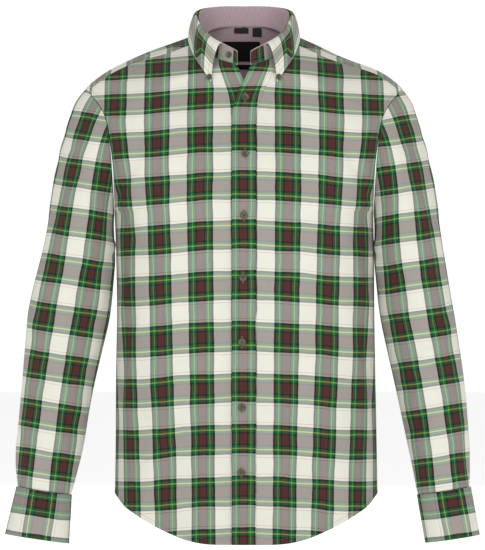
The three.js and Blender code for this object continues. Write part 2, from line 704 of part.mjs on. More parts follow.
// Small buttons: on the slit bands, the cuffs, the collar points and the stand's right end
const cuffButton = { inset: 14, down: 0.5 };
const slitButton = { down: 1.8 };
const pointButton = { part: 0.882, over: 0.95 };
const standButton = { part: 0.94, rise: 0.5 };
function surfaceNormal(surface, a, b, inside) {
  const tiny = 0.01;
  const here = surface(a, b);
  const first = subtract(surface(a + tiny, b), here);
  const normal = unit(cross(first, subtract(surface(a, b + tiny), here)));
  return dot(normal, subtract(here, inside)) > 0 ? normal : normal.map(value => -value);
}
[['right', rightCuff, point => point], ['left', leftCuff, mirrored]].forEach(([side, cuff, turnOver]) => {
  const onCuff = (turn, down) => turnOver(cuffPoint(cuff, turn, down));
  const lapTurn = cuffTurn - cuffButton.inset;
  const cuffMiddle = turnOver(cuffInside(cuff.arm)());
  placeButton(`cuff_button_${side}`, buttonRadius, onCuff(lapTurn, cuffButton.down),
    surfaceNormal(onCuff, lapTurn, cuffButton.down, cuffMiddle), buttonSeat * 2);
  const onSlit = (angle, down) => turnOver(sleevePoint(cuff.arm, angle, down));
  const sleeveMiddle = turnOver(armInside(cuff.arm)([0, 0, -600]));
  placeButton(`slit_button_${side}`, smallButtonRadius, onSlit(slitMiddle, slitButton.down),
    surfaceNormal(onSlit, slitMiddle, slitButton.down, sleeveMiddle), gap * 2 + wall + buttonSeat * 2);
});
[['right', 1], ['left', -1]].forEach(([side, sign]) => {
  const normal = surfaceNormal(leafPoint, sign * pointButton.part, pointButton.over, [0, 0, -60]);
  placeButton(`point_button_${side}`, smallButtonRadius,
    leafPoint(sign * pointButton.part, pointButton.over), normal, buttonSeat);
});
placeButton('stand_button', smallButtonRadius, standPoint(standButton.part, standButton.rise),
  surfaceNormal(standPoint, standButton.part, standButton.rise, [0, 0, -20]), buttonSeat * 2);

export default shirt;
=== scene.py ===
"""A men's long-sleeved check shirt with a button-down collar, filled out with no wearer.

The surfaces are worked out in millimetres in the frame of the CAD model: +Z up, the front faces -Y,
+X is the wearer's left, and the origin is the middle of the neck. Meshes are made in metres.
"""

import math

import bmesh
import bpy
from mathutils import Matrix, Vector


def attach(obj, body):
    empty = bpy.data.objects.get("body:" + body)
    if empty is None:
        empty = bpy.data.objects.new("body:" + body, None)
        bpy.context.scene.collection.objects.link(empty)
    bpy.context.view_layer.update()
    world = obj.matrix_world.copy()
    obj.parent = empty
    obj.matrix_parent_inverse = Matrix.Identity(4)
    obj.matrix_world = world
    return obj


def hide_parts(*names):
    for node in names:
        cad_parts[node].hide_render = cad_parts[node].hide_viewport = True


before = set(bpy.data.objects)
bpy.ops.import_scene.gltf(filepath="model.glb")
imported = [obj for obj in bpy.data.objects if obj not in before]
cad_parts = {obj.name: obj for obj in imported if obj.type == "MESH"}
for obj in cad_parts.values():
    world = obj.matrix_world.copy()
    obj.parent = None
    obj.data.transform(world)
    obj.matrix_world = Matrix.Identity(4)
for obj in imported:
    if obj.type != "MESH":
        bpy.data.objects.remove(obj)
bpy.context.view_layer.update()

# Sizes, in millimetres

WALL = 1.2
COLLAR_WALL = 1.3
LINING_WALL = 0.9
GAP = 0.3
BAND_WIDTH = 36
LAP_DEPTH = 3
STAND_HEIGHT = 29
STAND_END_HEIGHT = 19
YOKE_SEAM_FRONT = 168
YOKE_SEAM_BACK = 236
NECK_CORNER_FRONT = 126
NECK_CORNER_BACK = 210.5
NECK_AT_YOKE_SEAM = 0.6
FRONT_RADIUS = 300
ROUND_HANDLE = 0.5523
UNDERARM = -258
HEM_SIDE = -679
HEM_CURVE = 0.83
HEM_DROP = 72
BACK_HEM_DROP = 78
CUFF_HEIGHT = 72
CUFF_OVERLAP = 24
CUFF_WALL = 1.8
CAP = -330
BUTTON_RADIUS = 5.75
SMALL_BUTTON_RADIUS = 4.5
BUTTON_THICKNESS = 2.4
BUTTON_SEAT = 0.3

# Where a shoulder is lifted, how widely, and how far up on the right and on the left
SHOULDER_OUT = 150
SHOULDER_SPREAD = 40
SHOULDER_FOOT = -150
SHOULDER_RISE = 100
RIGHT_LIFT = 3
LEFT_LIFT = -3.5

# The check's repeat across and down the cloth
WARP_REPEAT = 64
WEFT_REPEAT = 76

METRES = 0.001


def mix(a, b, t):
    return a + (b - a) * t


def smooth(t):
    k = min(1, max(0, t))
    return k * k * (3 - 2 * k)


def steps(start, end, count):
    return [mix(start, end, k / count) for k in range(count + 1)]


def mirrored(point):
    return Vector((-point.x, point.y, point.z))


def lookup(rows):
    """Smooth values between the rows of a table, found by the table's first column."""
    keys = [row[0] for row in rows]
    slopes = []
    for i in range(len(rows)):
        low, high = max(0, i - 1), min(len(rows) - 1, i + 1)
        slopes.append([(b - a) / (keys[high] - keys[low]) for a, b in zip(rows[low], rows[high])])
    rising = keys[1] > keys[0]

    def at(key):
        i = 0
        while i < len(rows) - 2 and (key > keys[i + 1] if rising else key < keys[i + 1]):
            i += 1
        span = keys[i + 1] - keys[i]
        t = min(1, max(0, (key - keys[i]) / span))
        a, b = 2 * t**3 - 3 * t * t + 1, t**3 - 2 * t * t + t
        c, d = 3 * t * t - 2 * t**3, t**3 - t * t
        found = [
            a * p + b * span * m + c * q + d * span * n
            for p, m, q, n in zip(rows[i], slopes[i], rows[i + 1], slopes[i + 1])
        ]
        return found[1:]

    return at


def line(rows):
    """Straight values between the rows of a two-column table, carried on past its ends."""

    def at(key):
        i = 0
        while i < len(rows) - 2 and key > rows[i + 1][0]:
            i += 1
        (a, p), (b, q) = rows[i], rows[i + 1]
        return mix(p, q, (key - a) / (b - a))

    return at


# Shapes of the body

# height: half width, how much wider the wearer's left half is, front depth, back depth, fullness
body_section = lookup([
    (-770, 193.5, 6.5, 133, 124, 0.6),
    (-679, 193.5, 6.5, 130, 120, 0.6),
    (-600, 192.5, 6.5, 125, 112, 0.6),
    (-500, 192, 5, 120, 103, 0.6),
    (-404, 190.5, 5, 121, 104, 0.6),
    (-314, 192, 3, 126, 112, 0.62),
    (-258, 194, 0, 128, 118, 0.66),
    (-200, 195, 0, 124, 120, 0.66),
])

# angle round the armhole of the wearer's right side: x, y, z
armhole_points = lookup([
    (-45, -196, 42, -226),
    (0, -194, 0, -258),
    (45, -195, -38, -226),
    (90, -198, -56, -168),
    (135, -209, -43, -111),
    (180, -238, 3, -72),
    (225, -213, 48, -108),
    (270, -201, 61, -168),
    (315, -196, 42, -226),
    (360, -194, 0, -258),
    (405, -195, -38, -226),
])

# part of the half neck seam, from the middle of the back: x, y, z
neck_points = lookup([
    (-0.25, 42, 47, 23),
    (0, 0, 58, 25.5),
    (0.25, -42, 47, 23),
    (0.5, -69, 10, 7),
    (0.6, -70, -10, -1),
    (0.8, -51, -50, -24),
    (1, -10, -71, -38),
    (1.2, 20, -80, -44),
])

# height: how far the front edge passes the middle, depth
front_edge = lookup([
    (-310, 18, 126),
    (-258, 18, 128),
    (-200, 18, 122),
    (-140, 18, 106),
    (-108, 17, 95),
    (-84, 11, 87),
    (-60, -1, 79),
    (-38, -10, 71),
])

# angle: height at the edge, fall at the start, turn, fall and reach at the armhole
front_turn = lookup([
    (-42, -310, 0, 80, 0, 66),
    (0, -258, 0, 90, 0, 84.5),
    (42, -206, 0, 80, 0, 66),
    (84, -144, 0, 64, 0, 52),
    (105, -92, -0.03, 50, -0.08, 48),
    (126, -38, -0.08, 40, -0.25, 50),
    (147, -38, -0.29, 25, -0.58, 52),
    (168, -38, -0.47, 8, -1, 46),
])

# angle: height and depth at the middle, turn, fall and reach at the armhole
back_turn = lookup([
    (236, -85, 96, 46, -0.2, 50),
    (270, -150, 114, 64, 0, 54),
    (315, -210, 120, 80, 0, 64),
    (360, -258, 118, 90, 0, 78),
    (405, -306, 112.8, 80, 0, 64),
])

# angle: height and depth at the middle, fall at the start, turn, fall and reach at the armhole
yoke_turn = lookup([
    (168, 25.5, 58, -0.47, -8, -1, 46),
    (180, 25.5, 58, -0.49, 0, -1, 46),
    (195, 25.5, 58, -0.36, 16, -0.82, 48),
    (210.5, 25.5, 58, -0.1, 30, -0.45, 50),
    (223, -32, 84, 0, 39, -0.3, 50),
    (236, -85, 96, 0, 46, -0.2, 50),
])

# Soft folds: from across and up, to across and up, half width, how far they stand out
FRONT_FOLDS = [
    (0.72, 0, 0.66, 0.6, 0.1, 4),
    (0.42, 0, 0.38, 0.3, 0.09, -3),
    (0.86, 1.25, 0.6, 1.6, 0.09, -4),
    (0.9, 0.25, 0.7, 0.62, 0.05, -2.6),
    (0.93, 0.5, 0.72, 0.78, 0.04, 2),
    (0.55, 0.1, 0.5, 0.55, 0.06, 1.8),
    (0.24, 0.05, 0.22, 0.32, 0.05, 1.6),
    (0.95, 1.05, 0.66, 0.9, 0.045, -2.4),
    (0.97, 1.2, 0.74, 1.08, 0.04, 1.8),
    (0.97, 1.85, 0.72, 1.72, 0.05, -3),
    (0.98, 1.74, 0.78, 1.6, 0.04, 1.8),
    (0.4, 1.45, 0.3, 1.2, 0.05, 1.2),
]
BACK_FOLDS = [
    (0.75, 0, 0.66, 0.65, 0.1, 5),
    (0.36, 0, 0.4, 0.5, 0.12, 5),
    (0.56, 0, 0.54, 0.4, 0.09, -4),
    (0.85, 1.25, 0.6, 1.7, 0.1, -4),
    (0.93, 0.35, 0.75, 0.75, 0.05, -2.6),
    (0.2, 0.1, 0.22, 0.7, 0.05, -2),
    (0.95, 1.02, 0.7, 0.86, 0.045, -2.2),
    (0.97, 1.4, 0.72, 1.2, 0.045, 2),
    (0.3, 1.5, 0.25, 1.15, 0.06, 1.6),
    (0.52, 1.9, 0.5, 1.4, 0.05, 1.6),
]
SLEEVE_FOLDS = [
    (0.09, 0.8, 0.2, 1.2, 0.05, -4),
    (0.4, 1.3, 0.2, 1.45, 0.045, 3),
    (0.32, 1.55, 0.14, 1.7, 0.045, -3),
    (0.7, 1.15, 0.88, 1.4, 0.05, -4),
    (0.8, 1.5, 0.62, 1.7, 0.045, 3),
    (0.02, 0.55, 0.14, 0.95, 0.03, 2.4),
    (0.36, 0.45, 0.42, 0.8, 0.03, -1.8),
    (0.48, 0.4, 0.5, 0.75, 0.03, 1.6),
    (0.12, 1.25, 0.26, 1.36, 0.026, -2.2),
    (0.1, 1.38, 0.24, 1.52, 0.026, 1.8),
    (0.04, 1.52, 0.18, 1.6, 0.024, -1.6),
    (0.42, 1.78, 0.45, 2.0, 0.018, -2.2),
    (0.47, 1.8, 0.5, 2.0, 0.018, 2.2),
    (0.2, 1.82, 0.22, 2.0, 0.022, -1.4),
    (0.3, 1.84, 0.3, 2.0, 0.022, 1.4),
    (0.66, 1.8, 0.68, 2.0, 0.022, -1.6),
    (0.6, 0.6, 0.7, 0.95, 0.035, -2),
    (0.92, 0.7, 0.82, 1.05, 0.035, 2.2),
    (0.52, 0.16, 0.36, 0.3, 0.028, 2.6),
    (0.5, 0.3, 0.3, 0.42, 0.026, -2.6),
    (0.55, 0.36, 0.44, 0.56, 0.03, -2.2),
    (0.3, 0.3, 0.26, 0.6, 0.024, 1.8),
]


def fold_height(folds, across, up):
    """How far the folds stand out, each rounded across like a bell."""
    height = 0
    for from_a, from_u, to_a, to_u, half, stand in folds:
        along = (to_a - from_a, (to_u - from_u) * 1.6)
        away = (across - from_a, (up - from_u) * 1.6)
        length = math.hypot(*along)
        part = (away[0] * along[0] + away[1] * along[1]) / length**2
        side = (away[0] * along[1] - away[1] * along[0]) / length / half
        end = max(0, -part, part - 1) * length / half / 2
        height += stand * math.exp(-side * side - end * end)
    return height


def curve(start, leave, arrive, end, t):
    s = 1 - t
    first = start + leave
    second = end - arrive
    return start * s**3 + first * (3 * s * s * t) + second * (3 * s * t * t) + end * t**3


def panel_row(facing, start, end, past, start_fall, turn, fall, reach, across):
    """A row across half a panel, from the middle to the side; facing is -1 before and 1 behind."""
    handle = ROUND_HANDLE * abs(end.x - start.x)
    leave = Vector((-handle, facing * handle * past / FRONT_RADIUS, handle * start_fall))
    way = math.radians(turn)
    arrive = Vector((-math.cos(way), -facing * math.sin(way), fall)) * reach
    return curve(start, leave, arrive, end, across)


def armhole(angle):
    return Vector(armhole_points(angle))


def neck_seam(part):
    return Vector(neck_points(part))


def lower_point(facing, past, across, up):
    """The body below the underarm: up runs from the hem, 0, to the underarm, 1."""
    drop = (HEM_DROP if facing < 0 else BACK_HEM_DROP) * smooth((1 - across) / HEM_CURVE)
    height = mix(HEM_SIDE - drop, UNDERARM, up)
    half, wider, front, back, full = body_section(height)
    depth = front if facing < 0 else back
    start = Vector((past, facing * (depth - past * past / FRONT_RADIUS / 2), height))
    end = Vector((-half, 0, height))
    return panel_row(facing, start, end, past, 0, 90, 0, full * depth, across)


def folded(facing, folds, point, across, up):
    at_seams = smooth(across / 0.2) * smooth((1 - across) / 0.15) * smooth((2 - up) / 0.25)
    turn = math.radians(across * 90)
    out = Vector((-math.sin(turn), facing * math.cos(turn), 0))
    return point + out * fold_height(folds, across, up) * at_seams


def right_front(across, up):
    if up < 1:
        return folded(-1, FRONT_FOLDS, lower_point(-1, BAND_WIDTH / 2, across, up), across, up)
    angle = (up - 1) * YOKE_SEAM_FRONT
    edge_height, start_fall, turn, fall, reach = front_turn(angle)
    past, depth = front_edge(edge_height)
    if angle < NECK_CORNER_FRONT:
        start = Vector((past, past**2 / FRONT_RADIUS / 2 - depth, edge_height))
    else:
        on_neck = (angle - NECK_CORNER_FRONT) / (YOKE_SEAM_FRONT - NECK_CORNER_FRONT)
        start = neck_seam(mix(1, NECK_AT_YOKE_SEAM, on_neck))
        past = 0
    point = panel_row(-1, start, armhole(angle), past, start_fall, turn, fall, reach, across)
    return folded(-1, FRONT_FOLDS, point, across, up)


def half_back(across, up):
    if up < 1:
        return folded(1, BACK_FOLDS, lower_point(1, 0, across, up), across, up)
    angle = mix(360, YOKE_SEAM_BACK, up - 1)
    height, depth, turn, fall, reach = back_turn(angle)
    start = Vector((0, depth, height))
    point = panel_row(1, start, armhole(angle), 0, 0, turn, fall, reach, across)
    return folded(1, BACK_FOLDS, point, across, up)


def half_yoke(across, over):
    angle = mix(YOKE_SEAM_BACK, YOKE_SEAM_FRONT, over)
    height, depth, start_fall, turn, fall, reach = yoke_turn(angle)
    on_neck = (NECK_CORNER_BACK - angle) / (NECK_CORNER_BACK - YOKE_SEAM_FRONT)
    if on_neck < 0:
        start = Vector((0, depth, height))
    else:
        start = neck_seam(on_neck * NECK_AT_YOKE_SEAM)
    return panel_row(1, start, armhole(angle), 0, start_fall, turn, fall, reach, across)


def uneven(point):
    """The wearer's left half is a little wider, and that shoulder falls away more steeply."""
    half, wider = body_section(point.z)[:2]
    stretch, lift = (wider / half, LEFT_LIFT) if point.x > 0 else (0, RIGHT_LIFT)
    lift *= math.exp(-(((abs(point.x) - SHOULDER_OUT) / SHOULDER_SPREAD) ** 2))
    lift *= smooth((point.z - SHOULDER_FOOT) / SHOULDER_RISE)
    return Vector((point.x * (1 + stretch), point.y, point.z + lift))


def right_front_cloth(across, up):
    """The right front lies under the left one where they overlap."""
    point = right_front(across, up)
    point.y += LAP_DEPTH * smooth((point.x + 62) / 30) * smooth((-38 - point.z) / 18)
    return uneven(point)


def left_front(across, up):
    return uneven(mirrored(right_front(across, up)))


def both_halves(half):
    """A whole panel from its right half: across runs from -1 at the left side to 1 at the right."""

    def surface(across, up):
        point = half(abs(across), up)
        return mirrored(point) if across < 0 else point

    return surface


def yoke(across, over):
    return uneven(both_halves(half_yoke)(across, over))


def back(across, up):
    return uneven(both_halves(half_back)(across, up))


# Shapes of the sleeves and cuffs

# height: middle, half width, half depth, back, lean
RIGHT_SLEEVE = lookup([
    (-330, -248, 56, 64, -5, 14),
    (-404, -261, 61, 60, -7, 9),
    (-458, -270, 58, 57, -9, 8.5),
    (-530, -281, 53, 52, -12, 8.5),
    (-602, -290, 50, 47, -14, 8.5),
    (-640, -295, 46, 42, -16, 8.5),
    (-674, -298.5, 40.5, 34, -18, 8.5),
])
LEFT_SLEEVE = lookup([
    (-330, -247.7, 53.3, 66, -5, 14),
    (-404, -258, 55, 62, -7, 9),
    (-458, -268, 54, 59, -9, 8.5),
    (-530, -281, 51, 54, -12, 8.5),
    (-602, -291, 46, 49, -15, 8.5),
    (-640, -295, 42, 43, -16, 8.5),
    (-674, -298.5, 39.5, 35, -18, 8.5),
])
ARMS = {
    "right": {
        "section": RIGHT_SLEEVE,
        "flare": 0.58,
        "wrist": -674,
        "turn_over": lambda point: point,
        "cuff": {"slide": -10.5, "half_width": 47, "half_depth": 27, "push": -6},
        "first_row": -270.7,
        "row_scale": WEFT_REPEAT / 72.9,
        "stripe_shift": (26.2, 23.5),
        "cuff_middle": 0,
    },
    "left": {
        "section": LEFT_SLEEVE,
        "flare": 0.5,
        "wrist": -674,
        "turn_over": mirrored,
        "cuff": {"slide": -13, "half_width": 40, "half_depth": 34, "push": -4},
        "first_row": -276.5,
        "row_scale": WEFT_REPEAT / 73.2,
        "stripe_shift": (32, 17),
        "cuff_middle": 9,
    },
}


def sleeve_ring(arm, height, angle):
    middle, half_width, half_depth, behind, lean = arm["section"](height)
    lean = math.radians(lean)
    outward = Vector((-math.cos(lean), 0, math.sin(lean)))
    across = -half_width * math.cos(math.radians(angle))
    forward = -half_depth * math.sin(math.radians(angle))
    return Vector((middle, behind + forward, height)) + outward * across


def smooth_sleeve(arm, angle, down):
    if down >= 1:
        return sleeve_ring(arm, mix(CAP, arm["wrist"], down - 1), angle)
    start = armhole(angle)
    end = sleeve_ring(arm, CAP, angle)
    reach = (end - start).length / 3
    way = math.radians(angle)
    top = (1 - math.cos(way)) / 2
    side = math.sin(way)
    outward = mix(-0.12, -arm["flare"], top) - 0.3 * side * side
    leave = Vector((outward, -0.3 * side, mix(-0.95, -0.8, top)))
    arrive = (sleeve_ring(arm, CAP - 1, angle) - end).normalized()
    return curve(start, leave.normalized() * reach, arrive * reach, end, down)


def sleeve_point(arm, angle, down):
    """The sleeve on the wearer's right: down is 0 at the armhole, 1 under the cap, 2 at the wrist."""
    at_seams = smooth((down - 0.08) / 0.35) * smooth((2.02 - down) / 0.1)
    way = math.radians(angle)
    out = Vector((math.cos(way), -math.sin(way), 0))
    folds = fold_height(SLEEVE_FOLDS, angle / 360, down)
    return smooth_sleeve(arm, angle, down) + out * folds * at_seams


# Where the cuff's lap starts round the wrist, and how far the cuff goes round with its overlap
LAP_START = 196
CUFF_TURN = 360 + CUFF_OVERLAP / 0.75


def cuff_point(arm, turn, down):
    cuff = arm["cuff"]
    angle = math.radians(LAP_START + turn)
    middle, half_width, half_depth, behind, lean = arm["section"](arm["wrist"])
    centre = Vector((middle, behind, arm["wrist"]))
    centre += Vector((cuff["slide"], cuff["push"], -CUFF_HEIGHT)) * down
    out = (CUFF_WALL + GAP * 2) * turn / 360
    across = -(mix(half_width, cuff["half_width"], down) + out) * math.cos(angle)
    forward = -(mix(half_depth, cuff["half_depth"], down) + out) * math.sin(angle)
    lean = math.radians(lean)
    return centre + Vector((0, forward, 0)) + Vector((-math.cos(lean), 0, math.sin(lean))) * across


def on_arm(arm, place):
    """A surface of one arm, worked out on the wearer's right and turned over for the left."""

    def surface(a, b):
        return arm["turn_over"](place(arm, a, b))

    return surface


def cuff_inside(arm):
    middle, half_width, half_depth, behind, lean = arm["section"](arm["wrist"])
    centre = arm["turn_over"](Vector((middle - 5, behind, arm["wrist"] - CUFF_HEIGHT / 2)))
    return lambda point: centre


def arm_inside(arm):
    def inside(point):
        middle, half_width, half_depth, behind, lean = arm["section"](min(CAP, point.z))
        near = 0.85 if point.z > CAP else 1
        return arm["turn_over"](Vector((middle * near, behind, min(point.z, -150))))

    return inside


# Shapes of the collar

stand_height_at = lookup([
    (0, STAND_HEIGHT - 2.5),
    (0.25, STAND_HEIGHT - 1.5),
    (0.5, STAND_HEIGHT + 7),
    (0.6, STAND_HEIGHT + 4),
    (0.7, STAND_HEIGHT + 1),
    (0.8, STAND_HEIGHT - 2),
    (0.9, STAND_HEIGHT - 5),
    (1, STAND_END_HEIGHT),
])

# part: x, y, z of the leaf's outer edge, how far it leaves upwards and outwards, how steep it falls
leaf_edge = lookup([
    (0, 0, 84, 15, 7, 3.5, 26),
    (0.12, -34, 80, 15.5, 7, 3.5, 26),
    (0.24, -61, 64, 16.5, 7, 4, 26),
    (0.36, -77.5, 37, 14, 7, 4, 26),
    (0.48, -84, 4, 3, 8, 4.5, 26),
    (0.6, -80, -30, -13, 11, 7, 26),
    (0.7, -72, -56, -30.5, 14, 10, 28),
    (0.8, -61, -74, -46.5, 15, 12, 30),
    (0.9, -49, -81.5, -65, 12, 16, 30),
])


def stand_point(part, rise):
    """The collar stand: part is 1 at its right end, 0 behind and -1 at its left end."""
    side = 1 if part < 0 else -1
    s = abs(part)
    x, y, z = neck_points(s)
    inward = 0.04 * (1 - smooth((s - 0.6) / 0.4))
    lean = Vector((-x / 70 * inward, -y / 60 * inward, 1)).normalized()
    tall = GAP + rise * (stand_height_at(s)[0] - GAP)
    return Vector((-side * x, y, z)) + Vector((-side * lean.x, lean.y, lean.z)) * tall


def leaf_point(part, over):
    side = 1 if part < 0 else -1
    s = abs(part)
    x, y, z, rise, out, fall = leaf_edge(s)
    base = stand_point(-s, 1)
    start = Vector((-abs(base.x), base.y, base.z + GAP * 2))
    outward = Vector((start.x, start.y * 1.2, 0)).normalized()
    leave = Vector((0, 0, rise)) + outward * out
    point = curve(start, leave, Vector((0, 0, -fall)), Vector((x, y, z)), over)
    return Vector((-side * point.x, point.y, point.z))


def surface_at(surface, guess, x, height):
    """Where a surface has the given x and height, and its normal there."""
    tiny = 0.001
    a, b = guess
    for _ in range(25):
        here = surface(a, b)
        by_a = (surface(a + tiny, b) - here) / tiny
        by_b = (surface(a, b + tiny) - here) / tiny
        miss_x, miss_z = x - here.x, height - here.z
        scale = by_a.x * by_b.z - by_b.x * by_a.z
        a += 0.7 * (miss_x * by_b.z - miss_z * by_b.x) / scale
        b += 0.7 * (miss_z * by_a.x - miss_x * by_a.z) / scale
    point = surface(a, b)
    normal = (surface(a + tiny, b) - point).cross(surface(a, b + tiny) - point).normalized()
    return point, normal


def normal_of(surface, a, b, inside, tiny=0.004):
    here = surface(a, b)
    normal = (surface(a + tiny, b) - surface(a - tiny, b)).cross(
        surface(a, b + tiny) - surface(a, b - tiny)
    )
    normal.normalize()
    return normal if normal.dot(here - inside(here)) > 0 else -normal


def body_inside(point):
    return Vector((0, 0, min(point.z, -120)))


def collar_inside(point):
    return Vector((0, 0, 20))


def leaf_inside(point):
    return Vector((point.x * 0.75, point.y * 0.75, point.z - 12))


# Shader maths


class Socket:
    """A shader value that takes part in Python expressions, each of which adds its Math node."""

    def __init__(self, maker, link):
        self.maker = maker
        self.link = link

    def _with(self, operation, first, second):
        return self.maker.math(operation, first, second)

    def __add__(self, other):
        return self._with("ADD", self, other)

    def __radd__(self, other):
        return self._with("ADD", other, self)

    def __sub__(self, other):
        return self._with("SUBTRACT", self, other)

    def __rsub__(self, other):
        return self._with("SUBTRACT", other, self)

    def __mul__(self, other):
        return self._with("MULTIPLY", self, other)

    def __rmul__(self, other):
        return self._with("MULTIPLY", other, self)

    def __truediv__(self, other):
        return self._with("DIVIDE", self, other)


class Finish:
    """A material with one Principled shader, and the methods that add its nodes."""

    def __init__(self, name, **constants):
        self.material = bpy.data.materials.new(name)
        self.material.use_nodes = True
        self.tree = self.material.node_tree
        self.shader = self.tree.nodes["Principled BSDF"]
        for socket, value in constants.items():
            self.shader.inputs[socket.replace("_", " ")].default_value = value

    def node(self, kind, settings=None, out=0, **sockets):
        node = self.tree.nodes.new("ShaderNode" + kind)
        for key, value in (settings or {}).items():
            setattr(node, key, value)
        for key, value in sockets.items():
            name = key.replace("_", " ")
            place = int(key[1:]) if key[0] == "i" and key[1:].isdigit() else name
            self.feed(node.inputs[place], value)
        return Socket(self, node.outputs[out])

    def feed(self, place, value):
        if isinstance(value, Socket):
            self.tree.links.new(value.link, place)
        elif place.type == "RGBA" and len(value) == 3:
            place.default_value = (*value, 1)
        else:
            place.default_value = value

    def math(self, operation, first, second=0.0):
        return self.node("Math", {"operation": operation}, i0=first, i1=second)

    def ramp(self, place, stops, interpolation):
        """The colour at a place from 0 to 1 along stops of (position, colour)."""
        found = self.node("ValToRGB", Fac=place)
        ramp = found.link.node.color_ramp
        ramp.interpolation = interpolation
        while len(ramp.elements) < len(stops):
            ramp.elements.new(1)
        for element, (position, colour) in zip(ramp.elements, stops):
            element.position = position
            element.color = (*colour, 1)
        return found

    def sines(self, across, down, pitch):
        """Yarns over and under each other, with a pitch in millimetres."""
        turn = math.pi / pitch
        return self.math("SINE", across * turn) * self.math("SINE", down * turn)

    def relief(self, height, strength, distance=METRES):
        return self.node("Bump", Strength=strength, Distance=distance, Height=height)

    def colour_mix(self, factor, first, second, blend="MIX"):
        return self.node(
            "Mix", {"data_type": "RGBA", "blend_type": blend}, out=2, i0=factor, i6=first, i7=second
        )

    def vector(self, operation, first, second=(0, 0, 0), **more):
        return self.node("VectorMath", {"operation": operation}, i0=first, i1=second, **more)

    def noise(self, place, scale, detail=2.0, roughness=0.5):
        return self.node("TexNoise", Vector=place, Scale=scale, Detail=detail, Roughness=roughness)

    def connect(self, **sockets):
        for key, value in sockets.items():
            self.feed(self.shader.inputs[key.replace("_", " ")], value)
        return self.material


# Finishes

# Yarn colours of the check
CREAM = (0.80, 0.795, 0.70)
TAN = (0.55, 0.27, 0.12)
NAVY = (0.003, 0.012, 0.019)
GREEN = (0.011, 0.112, 0.034)
MAROON = (0.082, 0.027, 0.026)
YELLOW = (0.44, 0.50, 0.11)
LIME = (0.11, 0.40, 0.09)

# Half of the warp's order, from the middle of a light stripe: width in millimetres, yarn
WARP_ORDER = [
    (13.0, CREAM),
    (2.8, NAVY),
    (4.2, GREEN),
    (1.4, LIME),
    (3.2, GREEN),
    (2.1, NAVY),
    (5.3, MAROON),
]

# Half of the weft's order, from the middle of a light row
WEFT_ORDER = [
    (11.8, CREAM),
    (0.8, TAN),
    (3.4, CREAM),
    (2.75, NAVY),
    (3.7, GREEN),
    (2.0, YELLOW),
    (3.65, GREEN),
    (2.5, NAVY),
    (7.4, MAROON),
]


# Millimetres from one twill wale to the next, and from one yarn to the next
WALE_PITCH = 1.9
YARN_PITCH = 0.62

# Horn, from its dark to its light parts
HORN_COLOURS = [
    (0.0, (0.03, 0.026, 0.013)),
    (0.42, (0.055, 0.048, 0.022)),
    (0.6, (0.10, 0.092, 0.045)),
    (1.0, (0.20, 0.18, 0.10)),
]

# The output of a Texture Coordinate node that gives the place on the object
OBJECT_PLACE = 3


def yarn_order(finish, place, order, repeat):
    """The yarn colour at a place across the order, which runs out and back over a repeat."""
    half = repeat / 2
    stops = []
    reached = 0
    for width, colour in order:
        stops.append((reached / half, colour))
        reached += width
    wave = finish.math("PINGPONG", place, half) / half
    return finish.ramp(wave, stops, "CONSTANT")


def cloth_place(finish):
    """Millimetres across and down the cloth, with the small waver of woven yarns."""
    map_place = finish.node("UVMap", {"uv_map": "cloth"})
    millimetres = finish.vector("SCALE", map_place, Scale=1000.0)
    waver = finish.noise(millimetres, 0.022, 3.0)
    sway = finish.noise(finish.vector("ADD", millimetres, (740.0, 310.0, 0.0)), 0.018, 2.0)
    parts = finish.node("SeparateXYZ", Vector=millimetres).link.node.outputs
    across = Socket(finish, parts[0]) + (waver - 0.5) * 4.2
    down = Socket(finish, parts[1]) + (sway - 0.5) * 5.0
    return millimetres, across, down


def check_finish(name):
    finish = Finish(name, Roughness=0.88, Specular_IOR_Level=0.12, Sheen_Weight=0.08,
                    Sheen_Roughness=0.5, Sheen_Tint=(0.9, 0.95, 0.88, 1))
    millimetres, across, down = cloth_place(finish)
    warp = yarn_order(finish, across + WARP_REPEAT / 2, WARP_ORDER, WARP_REPEAT)
    weft = yarn_order(finish, down, WEFT_ORDER, WEFT_REPEAT)
    # A brushed twill: diagonal wales, each broken by the single yarns
    wale = finish.math("SINE", (across + down) * (2 * math.pi / WALE_PITCH))
    yarns = finish.sines(across, down, YARN_PITCH / 2)
    weave = wale * 0.65 + yarns * 0.35
    fuzz = finish.noise(millimetres, 1.1, 3.0, 0.65)
    share = weave * 0.17 + 0.455 + (fuzz - 0.5) * 0.12
    mixed = finish.colour_mix(share, warp, weft)
    # Where warp and weft differ in colour the mix is made darker: partly the dark yarn showing more,
    # partly painted shade in the gaps between the crossing yarns.
    apart = finish.vector("SUBTRACT", warp, weft)
    painted_yarn_shade = finish.vector("SCALE", finish.vector("MULTIPLY", apart, apart), Scale=0.2)
    cloth = finish.vector("SUBTRACT", mixed, painted_yarn_shade)
    mottle = finish.noise(millimetres, 0.045, 2.0)
    # The tone varies at random with the nap, and is a little lighter on the wales' crests: painted
    # shade of the twill's ridges.
    tone = 0.94 + (fuzz - 0.5) * 0.16 + (mottle - 0.5) * 0.07 + weave * 0.025
    colour = finish.vector("SCALE", cloth, Scale=tone)
    height = weave * 0.05 + fuzz * 0.12
    return finish.connect(Base_Color=colour, Normal=finish.relief(height, 0.35))


